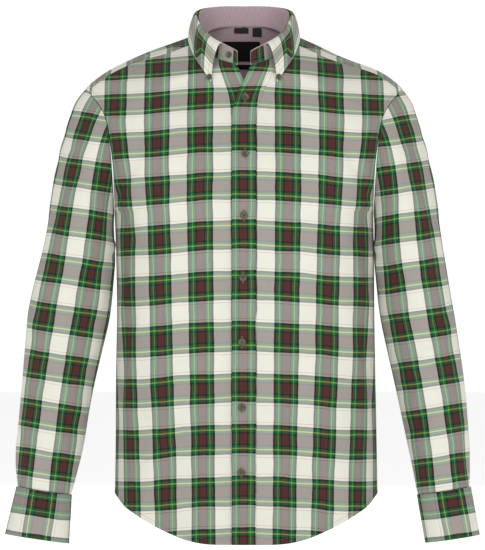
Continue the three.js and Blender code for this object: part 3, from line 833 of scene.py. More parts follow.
def plain_weave_finish(name, warp, weft, pitch, wales=0.0):
    """A plain woven cloth of two yarns, such as the chambray of the linings."""
    finish = Finish(name, Roughness=0.88, Specular_IOR_Level=0.12, Sheen_Weight=0.04,
                    Sheen_Roughness=0.5)
    millimetres, across, down = cloth_place(finish)
    over = finish.sines(across, down, pitch)
    ribs = finish.math("SINE", down * (2 * math.pi / (pitch * 2)))
    slub = finish.noise(finish.vector("MULTIPLY", millimetres, (1.6, 0.09, 1.0)), 1.0)
    share = over * 0.24 + 0.5 + (slub - 0.5) * 0.55 + ribs * wales
    colour = finish.colour_mix(share, warp, weft)
    fuzz = finish.noise(millimetres, 0.9, 2.0)
    tone = 0.93 + (fuzz - 0.5) * 0.2
    colour = finish.vector("SCALE", colour, Scale=tone)
    height = over * 0.05 + slub * 0.05
    return finish.connect(Base_Color=colour, Normal=finish.relief(height, 0.3))


def horn_finish():
    finish = Finish("horn", Roughness=0.34, Coat_Weight=0.25, Coat_Roughness=0.2)
    place = finish.node("TexCoord", out=OBJECT_PLACE)
    stretched = finish.vector("MULTIPLY", place, (90.0, 90.0, 260.0))
    flow = finish.noise(stretched, 1.4, 4.0, 0.6)
    cloud = finish.noise(place, 160.0, 2.0)
    base = finish.ramp(flow, HORN_COLOURS, "EASE")
    colour = finish.colour_mix(cloud * 0.5, base, (0.08, 0.085, 0.04))
    bump = finish.relief(flow, 0.12, 0.0004)
    return finish.connect(Base_Color=colour, Roughness=0.26 + flow * 0.2, Normal=bump)


def thread_finish(name, colour):
    finish = Finish(name, Roughness=0.6, Sheen_Weight=0.3)
    place = finish.node("TexCoord", out=OBJECT_PLACE)
    twist = finish.noise(place, 2600.0, 1.0)
    shade = finish.colour_mix(twist, [c * 0.7 for c in colour], [min(1, c * 1.25) for c in colour])
    return finish.connect(Base_Color=shade)


check = check_finish("brushed_check")
chambray = plain_weave_finish("chambray", (0.29, 0.17, 0.195), (0.80, 0.66, 0.69), 0.55)
label_cloth = plain_weave_finish(
    "label_cloth", (0.006, 0.005, 0.0065), (0.013, 0.011, 0.014), 0.4, 0.2
)
small_label_cloth = plain_weave_finish(
    "small_label_cloth", (0.026, 0.030, 0.034), (0.044, 0.048, 0.053), 0.4, 0.2
)
horn = horn_finish()
seam_thread = thread_finish("seam_thread", (0.16, 0.22, 0.15))
button_thread = thread_finish("button_thread", (0.05, 0.075, 0.045))

# How the check lies on each cloth

# Where the stripes of the fronts begin to hang plumb from the shoulders, and where they fall open
CHEST = -128
OPEN_FROM = -200

# height on the middle of the front: place down the cloth, from a light row on the chest
front_rows = line([
    (-772, -518),
    (-709.7, -456),
    (-632.9, -380),
    (-556.8, -304),
    (-480.6, -228),
    (-404.7, -152),
    (-329.4, -76),
    (-255.3, 0),
    (-182.9, 76),
    (-115.4, 152),
    (-60.3, 228),
    (-38, 262),
])

# distance from the middle: how far the rows droop there
droop = line([(0, 0), (20, 0.2), (60, 1.6), (94, 3.8), (125, 7), (150, 9), (180, 10), (260, 12)])

# height: how much cloth lies on a millimetre of the body's girth
girth_scale = line([
    (-700, 1.057),
    (-560, 1.03),
    (-400, 1.0),
    (-325, 0.985),
    (-250, 0.975),
    (-100, 0.985),
    (20, 1.0),
])


def fallen_open(point, side):
    """How far the stripes lie from the plumb line where a front falls open under the neck."""
    past, depth = front_edge(max(OPEN_FROM, point.z))
    away = past - side * point.x
    return side * (BAND_WIDTH / 2 - past) * (1 - smooth((away - 15) / 35))


def kept_plumb(girths, points):
    """Above the chest each stripe of a front goes straight up from its place at that height."""
    found = []
    for i in range(len(points[0])):
        j = next(j for j in range(len(points)) if points[j][i].z > CHEST)
        low, high = points[j - 1][i], points[j][i]
        t = (CHEST - low.z) / (high.z - low.z)
        found.append((mix(low.x, high.x, t), mix(girths[j - 1][i], girths[j][i], t)))
    plumb = line(sorted(found))
    return [
        [mix(g, plumb(p.x), smooth((p.z - CHEST) / 30 + 0.5)) for g, p in zip(girth, row)]
        for girth, row in zip(girths, points)
    ]


def body_pattern(sign, shift_u=0.0, shift_v=0.0, plumb=False):
    def pattern(points, normals, across, up):
        girths = []
        for row, row_normals in zip(points, normals):
            middle = min(range(len(row)), key=lambda i: abs(across[i]))
            girth = [0.0] * len(row)
            girth[middle] = row[middle].x
            for way in (1, -1):
                i = middle + way
                while 0 <= i < len(row):
                    normal = row_normals[i] + row_normals[i - way]
                    tangent = Vector((-normal.y, normal.x, 0)) * (-1 if sign > 0 else 1)
                    tangent.normalize()
                    girth[i] = girth[i - way] + (row[i] - row[i - way]).dot(tangent)
                    i += way
            girths.append(girth)
        if plumb:
            girths = kept_plumb(girths, points)
        side = 0 if sign > 0 else math.copysign(1, -points[0][-1].x)
        return [
            [
                (
                    (g + (fallen_open(p, side) if side else 0)) * girth_scale(p.z) + shift_u,
                    front_rows(p.z + droop(abs(p.x))) + shift_v,
                )
                for g, p in zip(girth, row)
            ]
            for girth, row in zip(girths, points)
        ]

    return pattern


# distance from the middle: how far the yoke's rows have slipped at the front seam
yoke_slip = line([(60, 36), (92, 31), (112, 5), (150, 0), (205, 0), (235, 22)])


def crosswise(normal):
    """The direction in a surface that runs straight across the body."""
    return (Vector((1, 0, 0)) - normal * normal.x).normalized()


def yoke_pattern(points, normals, across, up):
    """Stripes run over the shoulders; rows are level behind and cross the front seams aslant."""
    rows = len(points)
    columns = len(points[0])
    place = [[[point.x, 0.0] for point in row] for row in points]
    for j in range(rows):
        for way, middle in ((1, columns // 2), (-1, columns // 2 - 1)):
            i = middle + way
            while 0 <= i < columns:
                normal = (normals[j][i] + normals[j][i - way]).normalized()
                move = (points[j][i] - points[j][i - way]).dot(crosswise(normal))
                place[j][i][0] = place[j][i - way][0] + move
                i += way
    for i in range(columns):
        for j in range(1, rows):
            normal = (normals[j][i] + normals[j - 1][i]).normalized()
            move = (points[j][i] - points[j - 1][i]).dot(normal.cross(crosswise(normal)))
            place[j][i][1] = place[j - 1][i][1] - abs(move)
    # A light row lies before the shoulder line, and a light stripe 128 mm from the middle
    depth = -place[-1][columns // 4][1]
    found = []
    for row, over in zip(place, up):
        at_front = smooth((over - 0.35) / 0.5)
        found.append([])
        for i, (u, v) in enumerate(row):
            slipped = v - place[-1][i][1] + yoke_slip(abs(points[-1][i].x))
            found[-1].append((
                u * 1.02 + math.copysign(26, u) * smooth(over),
                mix(v + depth, slipped, at_front) - 14,
            ))
    return found


SLEEVE_LEAN = math.radians(8.5)


def sleeve_pattern(arm):
    """Stripes run down the sleeve and rows round it; on the cap both follow its curve upwards."""
    axis = Vector((math.sin(SLEEVE_LEAN), 0, math.cos(SLEEVE_LEAN)))

    def pattern(points, normals, angles, downs):
        plain = [[arm["turn_over"](p) for p in row] for row in points]
        facing = [[arm["turn_over"](n) for n in row] for row in normals]
        front = min(range(len(angles)), key=lambda i: abs(angles[i] - 90))
        under_cap = min(range(len(downs)), key=lambda j: abs(downs[j] - 1))
        places = [None] * len(downs)
        for j in range(under_cap, len(downs)):
            girth = [0.0]
            for a, b in zip(plain[j], plain[j][1:]):
                step = b - a
                girth.append(girth[-1] + (step - axis * step.dot(axis)).length)
            places[j] = [
                (g - girth[front], (p.dot(axis) - arm["first_row"]) * arm["row_scale"])
                for g, p in zip(girth, plain[j])
            ]
        for j in range(under_cap - 1, -1, -1):
            places[j] = []
            for i, (u, v) in enumerate(places[j + 1]):
                normal = (facing[j][i] + facing[j + 1][i]).normalized()
                grain = (axis - normal * axis.dot(normal)).normalized()
                step = plain[j][i] - plain[j + 1][i]
                places[j].append((
                    u + step.dot(normal.cross(grain)),
                    v + step.dot(grain) * arm["row_scale"],
                ))
        on_sleeve, on_cap = arm["stripe_shift"]
        shift = [mix(on_cap, on_sleeve, smooth(down)) for down in downs]
        return [[(u + s, v) for u, v in row] for row, s in zip(places, shift)]

    return pattern


def cuff_pattern(arm):
    """The cuff is cut with the cloth turned, so the stripes run round it."""

    def pattern(points, normals, turns, downs):
        rows = []
        for row, down in zip(points, downs):
            girth = [0.0]
            for i in range(1, len(row)):
                girth.append(girth[-1] + (row[i] - row[i - 1]).length)
            front = min(range(len(turns)), key=lambda i: abs(turns[i] + LAP_START - 450))
            rows.append([
                (down * CUFF_HEIGHT - 19.5, g - girth[front] - arm["cuff_middle"] + WEFT_REPEAT / 2)
                for g in girth
            ])
        return rows

    return pattern


def measured_pattern(shift_u=0.0, shift_v=0.0):
    """Distances along the cloth's own columns and rows, from its first corner."""

    def pattern(points, normals, across, up):
        found = []
        down = [shift_v] * len(points[0])
        for j, row in enumerate(points):
            if j:
                down = [v + (b - a).length for v, a, b in zip(down, points[j - 1], row)]
            along = [shift_u]
            for a, b in zip(row, row[1:]):
                along.append(along[-1] + (b - a).length)
            found.append(list(zip(along, down)))
        return found

    return pattern


# Making cloth


def object_of(name, bm):
    """A mesh object of the bmesh, which is freed."""
    mesh = bpy.data.meshes.new(name)
    bm.to_mesh(mesh)
    bm.free()
    piece = bpy.data.objects.new(name, mesh)
    bpy.context.scene.collection.objects.link(piece)
    return piece


def finished(name, bm, material, slot, nodes):
    """The object of a bmesh in millimetres, riding on the body and standing for its CAD nodes."""
    bmesh.ops.scale(bm, vec=(METRES, METRES, METRES), verts=bm.verts)
    piece = object_of("sewn_" + name if nodes else name, bm)
    for polygon in piece.data.polygons:
        polygon.use_smooth = True
    piece.data.materials.append(material)
    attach(piece, "root")
    if nodes:
        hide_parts(*nodes)
    return piece


def grid_normals(points, inside, parting=None):
    """Each point's normal; a cloth with a parting has two halves, which may meet along it."""
    rows, columns = len(points), len(points[0])
    normals = []
    for j in range(rows):
        normals.append([])
        for i in range(columns):
            left = points[j][i if i - 1 == parting else max(0, i - 1)]
            right = points[j][i if i == parting else min(columns - 1, i + 1)]
            low, high = points[max(0, j - 1)][i], points[min(rows - 1, j + 1)][i]
            normal = (right - left).cross(high - low)
            normal.normalize()
            normals[-1].append(normal)
        if parting and (points[j][parting] - points[j][parting + 1]).length < 0.01:
            joined = (normals[j][parting] + normals[j][parting + 1]).normalized()
            normals[j][parting] = normals[j][parting + 1] = joined
    # One side for the whole cloth, decided by all its points together
    out = sum(
        n.dot((p - inside(p)).normalized()) for pr, nr in zip(points, normals) for p, n in zip(pr, nr)
    )
    if out < 0:
        normals = [[-n for n in row] for row in normals]
    return normals


def cloth(name, surface, across, up, pattern, inside, material=check, slot="check", wall=WALL,
          lift=0.0, relief=None, closed=False, parting=None):
    """A cloth laid over a surface: a grid moved onto it, its place on the weave, and its wall."""
    points = [[surface(a, b) for a in across] for b in up]
    normals = grid_normals(points, inside, parting)
    weave = pattern(points, normals, across, up)
    bm = bmesh.new()
    columns, rows = len(across) - 1, len(up) - 1
    bmesh.ops.create_grid(bm, x_segments=columns, y_segments=rows, size=1)
    layer = bm.loops.layers.uv.new("cloth")
    found = {}
    for vert in bm.verts:
        found[vert] = (round((vert.co.x + 1) / 2 * columns), round((vert.co.y + 1) / 2 * rows))
    for face in bm.faces:
        for loop in face.loops:
            i, j = found[loop.vert]
            u, v = weave[j][i]
            loop[layer].uv = (u * METRES, v * METRES)
    for vert, (i, j) in found.items():
        out = lift + (relief(across[i], up[j]) if relief else 0)
        vert.co = points[j][i] + normals[j][i] * out
    bm.normal_update()
    facing = sum(
        face.normal.dot(normals[found[face.verts[0]][1]][found[face.verts[0]][0]]) for face in bm.faces
    )
    if facing < 0:
        bmesh.ops.reverse_faces(bm, faces=bm.faces)
    if parting:
        webs = [f for f in bm.faces if {found[v][0] for v in f.verts} == {parting, parting + 1}]
        bmesh.ops.delete(bm, geom=webs, context="FACES")
    if closed or parting:
        bmesh.ops.remove_doubles(bm, verts=bm.verts, dist=0.01)
    piece = finished(name, bm, material, slot, [name])
    solid = piece.modifiers.new("wall", "SOLIDIFY")
    solid.thickness = wall * METRES
    solid.offset = -1
    solid.use_even_offset = True
    soft = piece.modifiers.new("soft", "SUBSURF")
    soft.levels = soft.render_levels = 1


def dip(distance, width=1.8, depth=0.6):
    """A seam's small valley, by the distance from the seam in millimetres."""
    return -depth * math.exp(-((distance / width) ** 2))


def with_ends(values, near_start=(), near_end=()):
    """The list with rows added close to its ends, for seams and hems."""
    span = values[-1] - values[0]
    more = [values[0] + span * t for t in near_start] + [values[-1] - span * t for t in near_end]
    return sorted(set(values + more))


# Stitching

STITCH = 3.0

# How far a line of stitches stands off the cloth that it is sewn through
ON_CLOTH = 0.1


def stitch_row(bm, places, pitch=STITCH, length=2.1, width=0.5, height=0.34):
    """Stitches along a line of places, each a point and the cloth's normal there."""
    walked = 0.0
    due = pitch / 2
    for (a, na), (b, nb) in zip(places, places[1:]):
        span = (b - a).length
        while span > 0 and due <= walked + span:
            t = (due - walked) / span
            normal = (na * (1 - t) + nb * t).normalized()
            along = (b - a).normalized()
            side = normal.cross(along).normalized()
            place = Matrix((
                (along.x, side.x, normal.x, 0),
                (along.y, side.y, normal.y, 0),
                (along.z, side.z, normal.z, 0),
                (0, 0, 0, 1),
            ))
            place.translation = a * (1 - t) + b * t
            size = Matrix.Diagonal((length / 2, width / 2, height / 2, 1))
            bmesh.ops.create_icosphere(bm, subdivisions=1, radius=1, matrix=place @ size)
            due += pitch
        walked += span


def places_on(surface, path, inside, lift):
    found = []
    for a, b in path:
        normal = normal_of(surface, a, b, inside)
        found.append((surface(a, b) + normal * lift, normal))
    return found


def stitching(name, lines):
    """One piece of stitching: lines of (surface, path, inside, lift)."""
    bm = bmesh.new()
    for surface, path, inside, lift in lines:
        stitch_row(bm, places_on(surface, path, inside, lift))
    finished(name, bm, seam_thread, "check", [])


def along_cloth(across, up):
    """A path over a cloth: one of the two is a list, and the other stays as it is."""
    if isinstance(across, list):
        return [(a, up) for a in across]
    return [(across, b) for b in up]


def body_line(surface, across, up, lift=ON_CLOTH):
    return surface, along_cloth(across, up), body_inside, lift


# The body

FRONT_ACROSS = with_ends(steps(0, 1, 40), (0.006, 0.014), (0.006, 0.016))
BODY_UP = with_ends(steps(0, 1, 54) + steps(1, 2, 44)[1:], (0.006, 0.008), (0.0025, 0.006))


def body_relief(across, up):
    """A seam's valley at the side, armhole and yoke, and the turned-up hem."""
    side = dip((1 - abs(across)) * 250)
    top = dip((2 - up) * 150)
    hem = 0.55 * smooth((0.016 - up) / 0.003)
    return side + top + hem


for name, surface in (("front_right", right_front_cloth), ("front_left", left_front)):
    cloth(name, surface, FRONT_ACROSS, BODY_UP, body_pattern(-1, plumb=True), body_inside,
          relief=body_relief)
BACK_ACROSS = with_ends(steps(-1, 1, 84), (0.003, 0.008), (0.003, 0.008))
cloth("back", back, BACK_ACROSS, BODY_UP, body_pattern(1), body_inside, relief=body_relief)


def two_halves(count, end):
    """Steps out from a parting in the middle, which has a column of its own on each side."""
    half = steps(0.000001, end, count)
    return [-a for a in reversed(half)] + half


YOKE_ACROSS = with_ends(two_halves(32, 1), (0.003, 0.008), (0.003, 0.008))
YOKE_OVER = with_ends(steps(0, 1, 28), (0.008, 0.022), (0.008, 0.022))


def yoke_relief(across, over):
    return dip((1 - abs(across)) * 180) + dip(over * 150) + dip((1 - over) * 150)


cloth("yoke", yoke, YOKE_ACROSS, YOKE_OVER, yoke_pattern, body_inside, relief=yoke_relief,
      parting=len(YOKE_ACROSS) // 2 - 1)
cloth("yoke_lining", yoke, two_halves(24, 0.998), steps(0.004, 0.996, 20), measured_pattern(),
      body_inside, chambray, "chambray", wall=LINING_WALL, lift=-WALL - GAP, parting=24)

# The band down the left front's edge


def across_at_width(up, width):
    if not width:
        return 0
    start = left_front(0, up)
    across = width / 200
    for _ in range(8):
        across *= width / (left_front(across, up) - start).length
    return across


def band_surface(width, up):
    return left_front(across_at_width(up, width), up)


BAND_TOP = 1 + NECK_CORNER_FRONT / YOKE_SEAM_FRONT - 0.0012
BAND_UP = with_ends(steps(0, 1, 40) + steps(1, BAND_TOP, 30)[1:], (0.006, 0.009))
BAND_ACROSS = [0, 0.8, 3, 6, 12, 18, 24, 30, 33, 35.2, BAND_WIDTH]

# The band's two lines of stitching, from the front edge
BAND_LINES = (6, 30)


def band_relief(width, up):
    return dip(min(abs(width - line) for line in BAND_LINES), 1.2, 0.35)


cloth("front_band", band_surface, BAND_ACROSS, BAND_UP, body_pattern(-1, 1.0, -1.4), body_inside,
      lift=GAP + WALL, relief=band_relief)

# Sleeves and cuffs

SLEEVE_ANGLES = steps(0, 360, 60)
SLEEVE_DOWN = with_ends(steps(0, 1, 26) + steps(1, 2, 44)[1:], (0.006, 0.012), (0.004,))


def sleeve_relief(angle, down):
    """The valleys at both seams, and the fullness of the sleeve's head with its small puckers."""
    head = math.exp(-(((angle - 172) / 48) ** 2))
    roll = 2.6 * math.exp(-(((down - 0.1) / 0.055) ** 2)) * head
    puckers = 0.5 * math.sin(angle * 0.52 + 1.4 * math.sin(angle * 0.11))
    puckers *= smooth(down / 0.05) * (1 - smooth((down - 0.06) / 0.16))
    return dip(down * 170, 2.4, 0.9) + dip((2 - down) * 350, 2.0, 0.5) + roll + puckers


CUFF_TURNS = with_ends(steps(0, CUFF_TURN, 66), (0.002,), (0.002,))
CUFF_DOWN = with_ends(steps(0.004, 1, 12), (0.012,), (0.012,))


def cuff_relief(turn, down):
    return dip(min(down, 1 - down) * CUFF_HEIGHT - 6, 1.4, 0.35)


for side, arm in ARMS.items():
    cloth("sleeve_" + side, on_arm(arm, sleeve_point), SLEEVE_ANGLES, SLEEVE_DOWN,
          sleeve_pattern(arm), arm_inside(arm), relief=sleeve_relief, closed=True)
    cloth("cuff_" + side, on_arm(arm, cuff_point), CUFF_TURNS, CUFF_DOWN, cuff_pattern(arm),
          cuff_inside(arm), wall=CUFF_WALL, relief=cuff_relief)

# The collar

STAND_PARTS = steps(1, -1, 72)


def stand_pattern(points, normals, parts, rises):
    """Each half starts its stripes at its own front end, and a dark row runs round the neck."""
    found = []
    for row in measured_pattern(shift_v=24)(points, normals, parts, rises):
        length = row[-1][0]
        found.append([(u + 12 if part > 0 else length - u - 4, v) for (u, v), part in zip(row, parts)])
    return found


cloth("collar_stand", stand_point, STAND_PARTS, steps(0, 1, 8), stand_pattern, collar_inside,
      wall=COLLAR_WALL)
cloth("stand_lining", stand_point, STAND_PARTS, steps(-0.12, 1.07, 8), measured_pattern(),
      collar_inside, chambray, "chambray", wall=LINING_WALL, lift=-COLLAR_WALL - GAP)

# How far round the leaf reaches, as a part of the half neck seam
LEAF_END = 0.9
LEAF_PARTS = with_ends(steps(LEAF_END, -LEAF_END, 84), (0.004, 0.01), (0.004, 0.01))[::-1]
LEAF_OVER = with_ends(steps(0, 1, 26), (), (0.01, 0.025))

# distance from the leaf's outer edge: place down the cloth beside the front edges
leaf_front_rows = line([(0, 0), (26, 16), (46, 60), (60, 76)])


def leaf_pattern(points, normals, parts, overs):
    """Stripes run with the front edges and plumb behind; a light row lies along the outer edge."""
    plain = measured_pattern()(points, normals, parts, overs)
    ends = plain[-1]
    total = [row[-1][0] for row in plain]
    found = []
    for row, length in zip(plain, total):
        longer = (total[0] - length) / 2
        found.append([])
        for i, (u, v) in enumerate(row):
            from_front = min(u, length - u)
            from_edge = ends[i][1] - v
            beside = 1 - smooth((from_front - 25) / 30)
            aslant = 13 * math.exp(-(((from_front - 52) / 16) ** 2))
            down = mix(from_edge, leaf_front_rows(from_edge), beside)
            behind = smooth((from_front - 60) / 80)
            found[-1].append((from_front - 40 + longer * behind, down + aslant))
    return found


def leaf_relief(part, over):
    edge = dip((1 - over) * 60 - 6, 1.3, 0.3)
    front = dip((LEAF_END - abs(part)) * 200 - 6, 1.3, 0.3)
    return edge + front


cloth("collar_leaf", leaf_point, LEAF_PARTS, LEAF_OVER, leaf_pattern, leaf_inside,
      wall=COLLAR_WALL, relief=leaf_relief)

# Slit bands above the cuffs

SLIT_ANGLES = (193.5, 219.0)
SLIT_MIDDLE = 206.25


def slit_point(arm, across, rise):
    """The band beside the slit: rise is 0 at the cuff and 1 at its pointed top."""
    point_up = 0.03 * (1 - abs(2 * across - 1)) * smooth((rise - 0.8) / 0.2)
    down = 2 - 0.003 - rise * (3 / 7 - 0.003) - point_up
    return sleeve_point(arm, mix(*SLIT_ANGLES, across), down)


for side, arm in ARMS.items():
    cloth("slit_band_" + side, on_arm(arm, slit_point), steps(0, 1, 8), steps(0, 1, 26),
          measured_pattern(-12, 20), arm_inside(arm), lift=GAP * 2 + WALL)

# Labels, all plain


def label_surface(x, height):
    guess = [abs(x) / 200, 0.3]
    point, normal = surface_at(half_yoke, guess, -abs(x) - 0.001, height)
    return mirrored(point) if x > 0 else point


for name, left, right, top, bottom, seat, material in [
    ("label_main", -35, 25, 3, -27, 1.5, label_cloth),
    ("label_strip", -35, 25, -32, -39, 1.8, label_cloth),
    ("label_small", -15, 7, 23, 14.5, 0.8, small_label_cloth),
    ("label_size", 13, 27, 23, 9.5, 0.95, small_label_cloth),
]:
    cloth(name, label_surface, steps(left, right, 12), steps(top, bottom, 6), measured_pattern(),
          body_inside, material, "label", wall=0.6, lift=-WALL - GAP - LINING_WALL - seat)

# Buttons


def button_mesh(radius):
    """A four-hole button with a raised rim and a dished face, its back on z = 0."""
    bm = bmesh.new()
    profile = [
        (0.0, 0.0), (0.8, 0.0), (0.93, 0.08), (1.0, 0.3), (1.0, 0.68), (0.96, 0.88), (0.86, 1.0),
        (0.75, 0.96), (0.66, 0.8), (0.6, 0.74), (0.0, 0.72),
    ]
    verts = [bm.verts.new((x * radius, 0, z * BUTTON_THICKNESS)) for x, z in profile]
    edges = [bm.edges.new(pair) for pair in zip(verts, verts[1:])]
    bmesh.ops.spin(bm, geom=verts + edges, cent=(0, 0, 0), axis=(0, 0, 1), angle=2 * math.pi,
                   steps=36, use_merge=True)
    bmesh.ops.remove_doubles(bm, verts=bm.verts, dist=0.001)
    bmesh.ops.recalc_face_normals(bm, faces=bm.faces)
    body = object_of("button_body", bm)
    holes_bm = bmesh.new()
    for turn in range(4):
        way = math.radians(45 + 90 * turn)
        place = Matrix.Translation((
            math.cos(way) * radius * 0.27, math.sin(way) * radius * 0.27, BUTTON_THICKNESS / 2
        ))
        bmesh.ops.create_cone(holes_bm, cap_ends=True, segments=12, radius1=radius * 0.13,
                              radius2=radius * 0.13, depth=BUTTON_THICKNESS * 3, matrix=place)
    holes = object_of("button_holes", holes_bm)
    cut = body.modifiers.new("holes", "BOOLEAN")
    cut.object = holes
    cut.operation = "DIFFERENCE"
    cut.solver = "EXACT"
    bpy.context.view_layer.update()
    evaluated = body.evaluated_get(bpy.context.evaluated_depsgraph_get())
    cut_mesh = bpy.data.meshes.new_from_object(evaluated)
    bpy.data.objects.remove(body)
    bpy.data.objects.remove(holes)
    return cut_mesh


def button_threads(bm, radius, place):
    """Two bars of thread over the face, and the thread between the button and the cloth."""
    for side in (-1, 1):
        for lane in (-0.03, 0.03):
            path = []
            for t in steps(-1, 1, 8):
                x = (side * 0.27 * math.cos(math.radians(45)) + lane) * radius
                y = t * 0.2 * radius
                z = BUTTON_THICKNESS * (0.6 + 0.24 * (1 - t * t) ** 0.5)
                path.append(place @ Vector((x, y, z)))
            normal = place.to_3x3() @ Vector((0, 0, 1))
            stitch_row(bm, [(p, normal) for p in path], pitch=0.42, length=0.62, width=0.36,
                       height=0.36)
    for turn in range(6):
        way = math.radians(60 * turn)
        spot = place @ Matrix.Translation((math.cos(way) * 0.7, math.sin(way) * 0.7, -0.1))
        bmesh.ops.create_icosphere(bm, subdivisions=1, radius=0.5, matrix=spot)


BUTTON_MESHES = {radius: button_mesh(radius) for radius in (BUTTON_RADIUS, SMALL_BUTTON_RADIUS)}
threads = bmesh.new()


def place_button(name, radius, point, normal, lift, spin=0.0):
    place = normal.to_track_quat("Z", "Y").to_matrix().to_4x4()
    place.translation = point + normal * lift
    place = place @ Matrix.Rotation(math.radians(spin), 4, "Z")
    bm = bmesh.new()
    bm.from_mesh(BUTTON_MESHES[radius])
    bmesh.ops.transform(bm, matrix=place, verts=bm.verts)
    piece = finished(name, bm, horn, "horn", [name])
    bevel = piece.modifiers.new("edges", "BEVEL")
    bevel.width = 0.00012
    bevel.segments = 2
    bevel.limit_method = "ANGLE"
    bevel.angle_limit = math.radians(50)
    button_threads(threads, radius, place)


holes_rows = bmesh.new()


def buttonhole(point, normal, along, length):
    """A worked buttonhole: close stitches round a slit."""
    along = (along - normal * along.dot(normal)).normalized()
    side = normal.cross(along)
    for way in (-1, 1):
        for t in steps(-0.5, 0.5, 26):
            middle = point + along * (t * length) + side * (way * 0.75)
            row = [(middle - side * 0.55, normal), (middle + side * 0.55, normal)]
            stitch_row(holes_rows, row, pitch=1.1, length=1.2, width=0.5, height=0.4)
    for end in (-0.5, 0.5):
        middle = point + along * (end * length * 1.06)
        stitch_row(holes_rows, [(middle - side * 1.4, normal), (middle + side * 1.4, normal)],
                   pitch=0.7, length=0.8, width=0.9, height=0.45)


FRONT_BUTTONS = [(-88, 2), (-172, 1.5), (-263, 0), (-355, -1.5), (-451, -3), (-548, -3), (-644, -4)]
for k, (height, x) in enumerate(FRONT_BUTTONS):
    start_up = 1 + (height - UNDERARM) / 490 if height < UNDERARM else 1.3
    point, normal = surface_at(left_front, (0.06, start_up), x, height)
    outward = normal if normal.y < 0 else -normal
    lift = GAP + WALL
    buttonhole(point + outward * (lift + 0.1), outward, Vector((0, 0, 1)), 15)
    place_button(f"button_{k + 1}", BUTTON_RADIUS, point, outward, lift + BUTTON_SEAT, 10 * k)

for side, arm in ARMS.items():
    lap_turn = CUFF_TURN - 14
    on_cuff = on_arm(arm, cuff_point)
    middle = on_cuff(lap_turn, 0.5)
    normal = normal_of(on_cuff, lap_turn, 0.5, cuff_inside(arm), 0.01)
    place_button("cuff_button_" + side, BUTTON_RADIUS, middle, normal, BUTTON_SEAT * 2, 20)
    buttonhole(middle + normal * 0.1, normal, on_cuff(lap_turn + 1, 0.5) - middle, 15)
    on_sleeve = on_arm(arm, sleeve_point)
    normal = normal_of(on_sleeve, SLIT_MIDDLE, 1.8, arm_inside(arm), 0.01)
    place_button("slit_button_" + side, SMALL_BUTTON_RADIUS, on_sleeve(SLIT_MIDDLE, 1.8), normal,
                 GAP * 2 + WALL + BUTTON_SEAT * 2, 30)

for side, sign in (("right", 1), ("left", -1)):
    normal = normal_of(leaf_point, sign * 0.882, 0.95, lambda p: Vector((0, 0, -60)), 0.01)
    place_button("point_button_" + side, SMALL_BUTTON_RADIUS, leaf_point(sign * 0.882, 0.95), normal,
                 BUTTON_SEAT, 15)
normal = normal_of(stand_point, 0.94, 0.5, lambda p: Vector((0, 0, -20)), 0.01)
place_button("stand_button", SMALL_BUTTON_RADIUS, stand_point(0.94, 0.5), normal, BUTTON_SEAT * 2, 25)

finished("button_threads", threads, button_thread, "horn", [])
finished("buttonholes", holes_rows, seam_thread, "check", [])

# Lines of stitching

ARM_UP = steps(1.02, 1.985, 60)
ARM_LINE = 0.968
SIDE_LINE = 0.972
HEM_LINE = 0.0165
stitching("armhole_stitching", [
    body_line(right_front_cloth, ARM_LINE, ARM_UP),
    body_line(left_front, ARM_LINE, ARM_UP),
    body_line(back, ARM_LINE, ARM_UP),
    body_line(back, -ARM_LINE, ARM_UP),
])
stitching("yoke_stitching", [
    body_line(yoke, steps(-0.98, 0.98, 80), 0.03),
    body_line(yoke, steps(-0.98, -0.02, 40), 0.965),
    body_line(yoke, steps(0.02, 0.98, 40), 0.965),
])
stitching("hem_stitching", [
    body_line(right_front_cloth, steps(0.02, 0.985, 60), HEM_LINE),
    body_line(left_front, steps(0.14, 0.985, 60), HEM_LINE),
    body_line(back, steps(-0.985, 0.985, 120), HEM_LINE),
])
stitching("band_stitching", [
    body_line(band_surface, width, steps(0.01, BAND_TOP - 0.01, 90), GAP + WALL)
    for width in BAND_LINES
])
stitching("side_stitching", [
    body_line(back, side * SIDE_LINE, steps(0.02, 0.99, 60)) for side in (-1, 1)
])
stitching("collar_stitching", [
    (leaf_point, along_cloth(0.868, steps(0.12, 0.9, 20)), leaf_inside, 0),
    (leaf_point, along_cloth(steps(0.866, -0.866, 120), 0.9), leaf_inside, 0),
    (leaf_point, along_cloth(-0.868, steps(0.9, 0.12, 20)), leaf_inside, 0),
    (stand_point, along_cloth(steps(0.985, -0.985, 90), 0.12), collar_inside, ON_CLOTH),
])
CUFF_SEWN = CUFF_TURN - 7
CUFF_PATHS = [
    along_cloth(steps(8, CUFF_SEWN, 70), 0.085),
    along_cloth(steps(8, CUFF_SEWN, 70), 0.915),
    along_cloth(CUFF_SEWN, steps(0.08, 0.92, 10)),
]
for side, arm in ARMS.items():
    on_cuff, on_slit = on_arm(arm, cuff_point), on_arm(arm, slit_point)
    slit_lift = GAP * 2 + WALL + ON_CLOTH
    stitching("cuff_stitching_" + side, [
        *[(on_cuff, path, cuff_inside(arm), 0) for path in CUFF_PATHS],
        *[(on_slit, along_cloth(across, steps(0.02, 0.9, 20)), arm_inside(arm), slit_lift)
          for across in (0.1, 0.9)],
    ])

# Floor, light and camera

FLOOR_HEIGHT = -0.80


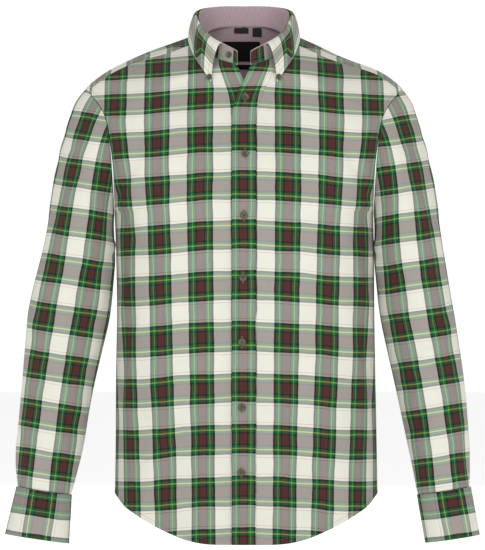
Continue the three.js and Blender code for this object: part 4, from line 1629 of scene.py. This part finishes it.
def floor():
    bm = bmesh.new()
    bmesh.ops.create_circle(bm, cap_ends=True, segments=96, radius=14)
    bmesh.ops.translate(bm, vec=(0, 0, FLOOR_HEIGHT), verts=bm.verts)
    piece = object_of("floor", bm)
    finish = Finish("floor", Roughness=1.0, Base_Color=(0.93, 0.93, 0.93, 1),
                    Emission_Color=(1, 1, 1, 1), Emission_Strength=0.46)
    piece.data.materials.append(finish.material)


def area_light(name, place, target, size, power):
    light = bpy.data.lights.new(name, "AREA")
    light.shape = "DISK"
    light.size = size
    light.energy = power
    lamp = bpy.data.objects.new(name, light)
    lamp.location = place
    way = Vector(target) - Vector(place)
    lamp.rotation_euler = way.to_track_quat("-Z", "Y").to_euler()
    bpy.context.scene.collection.objects.link(lamp)


floor()
area_light("key", (-1.4, -3.3, 1.5), (0, 0, -0.25), 1.6, 34)
area_light("fill", (1.6, -3.3, 0.6), (0, 0, -0.3), 1.8, 26)
area_light("behind", (0.6, 2.8, 1.2), (0, 0, -0.3), 1.8, 26)

# How bright the room is as light, and as the backdrop that the camera sees
ROOM_LIGHT = 0.5
BACKDROP_LIGHT = 1.05

world = bpy.data.worlds.new("studio")
world.use_nodes = True
background = world.node_tree.nodes["Background"]
background.inputs["Color"].default_value = (1, 1, 1, 1)
room = world.node_tree.nodes.new("ShaderNodeLightPath")
seen = world.node_tree.nodes.new("ShaderNodeMapRange")
seen.inputs["To Min"].default_value = ROOM_LIGHT
seen.inputs["To Max"].default_value = BACKDROP_LIGHT
world.node_tree.links.new(room.outputs["Is Camera Ray"], seen.inputs["Value"])
world.node_tree.links.new(seen.outputs["Result"], background.inputs["Strength"])
bpy.context.scene.world = world
bpy.context.scene.view_settings.view_transform = "Standard"

CAMERA_AWAY = 9.0
CAMERA_ASIDE = -0.00225
CAMERA_HEIGHT = -0.3516
VIEW_HEIGHT = 0.825
SENSOR_WIDTH = 36
camera = bpy.data.objects.new("camera", bpy.data.cameras.new("camera"))
camera.location = (CAMERA_ASIDE, -CAMERA_AWAY, CAMERA_HEIGHT)
camera.rotation_euler = (math.radians(90), 0, 0)
camera.data.sensor_width = SENSOR_WIDTH
camera.data.lens = SENSOR_WIDTH * CAMERA_AWAY / VIEW_HEIGHT
camera.data.clip_end = 100
bpy.context.scene.collection.objects.link(camera)
bpy.context.scene.camera = camera

bpy.context.view_layer.update()
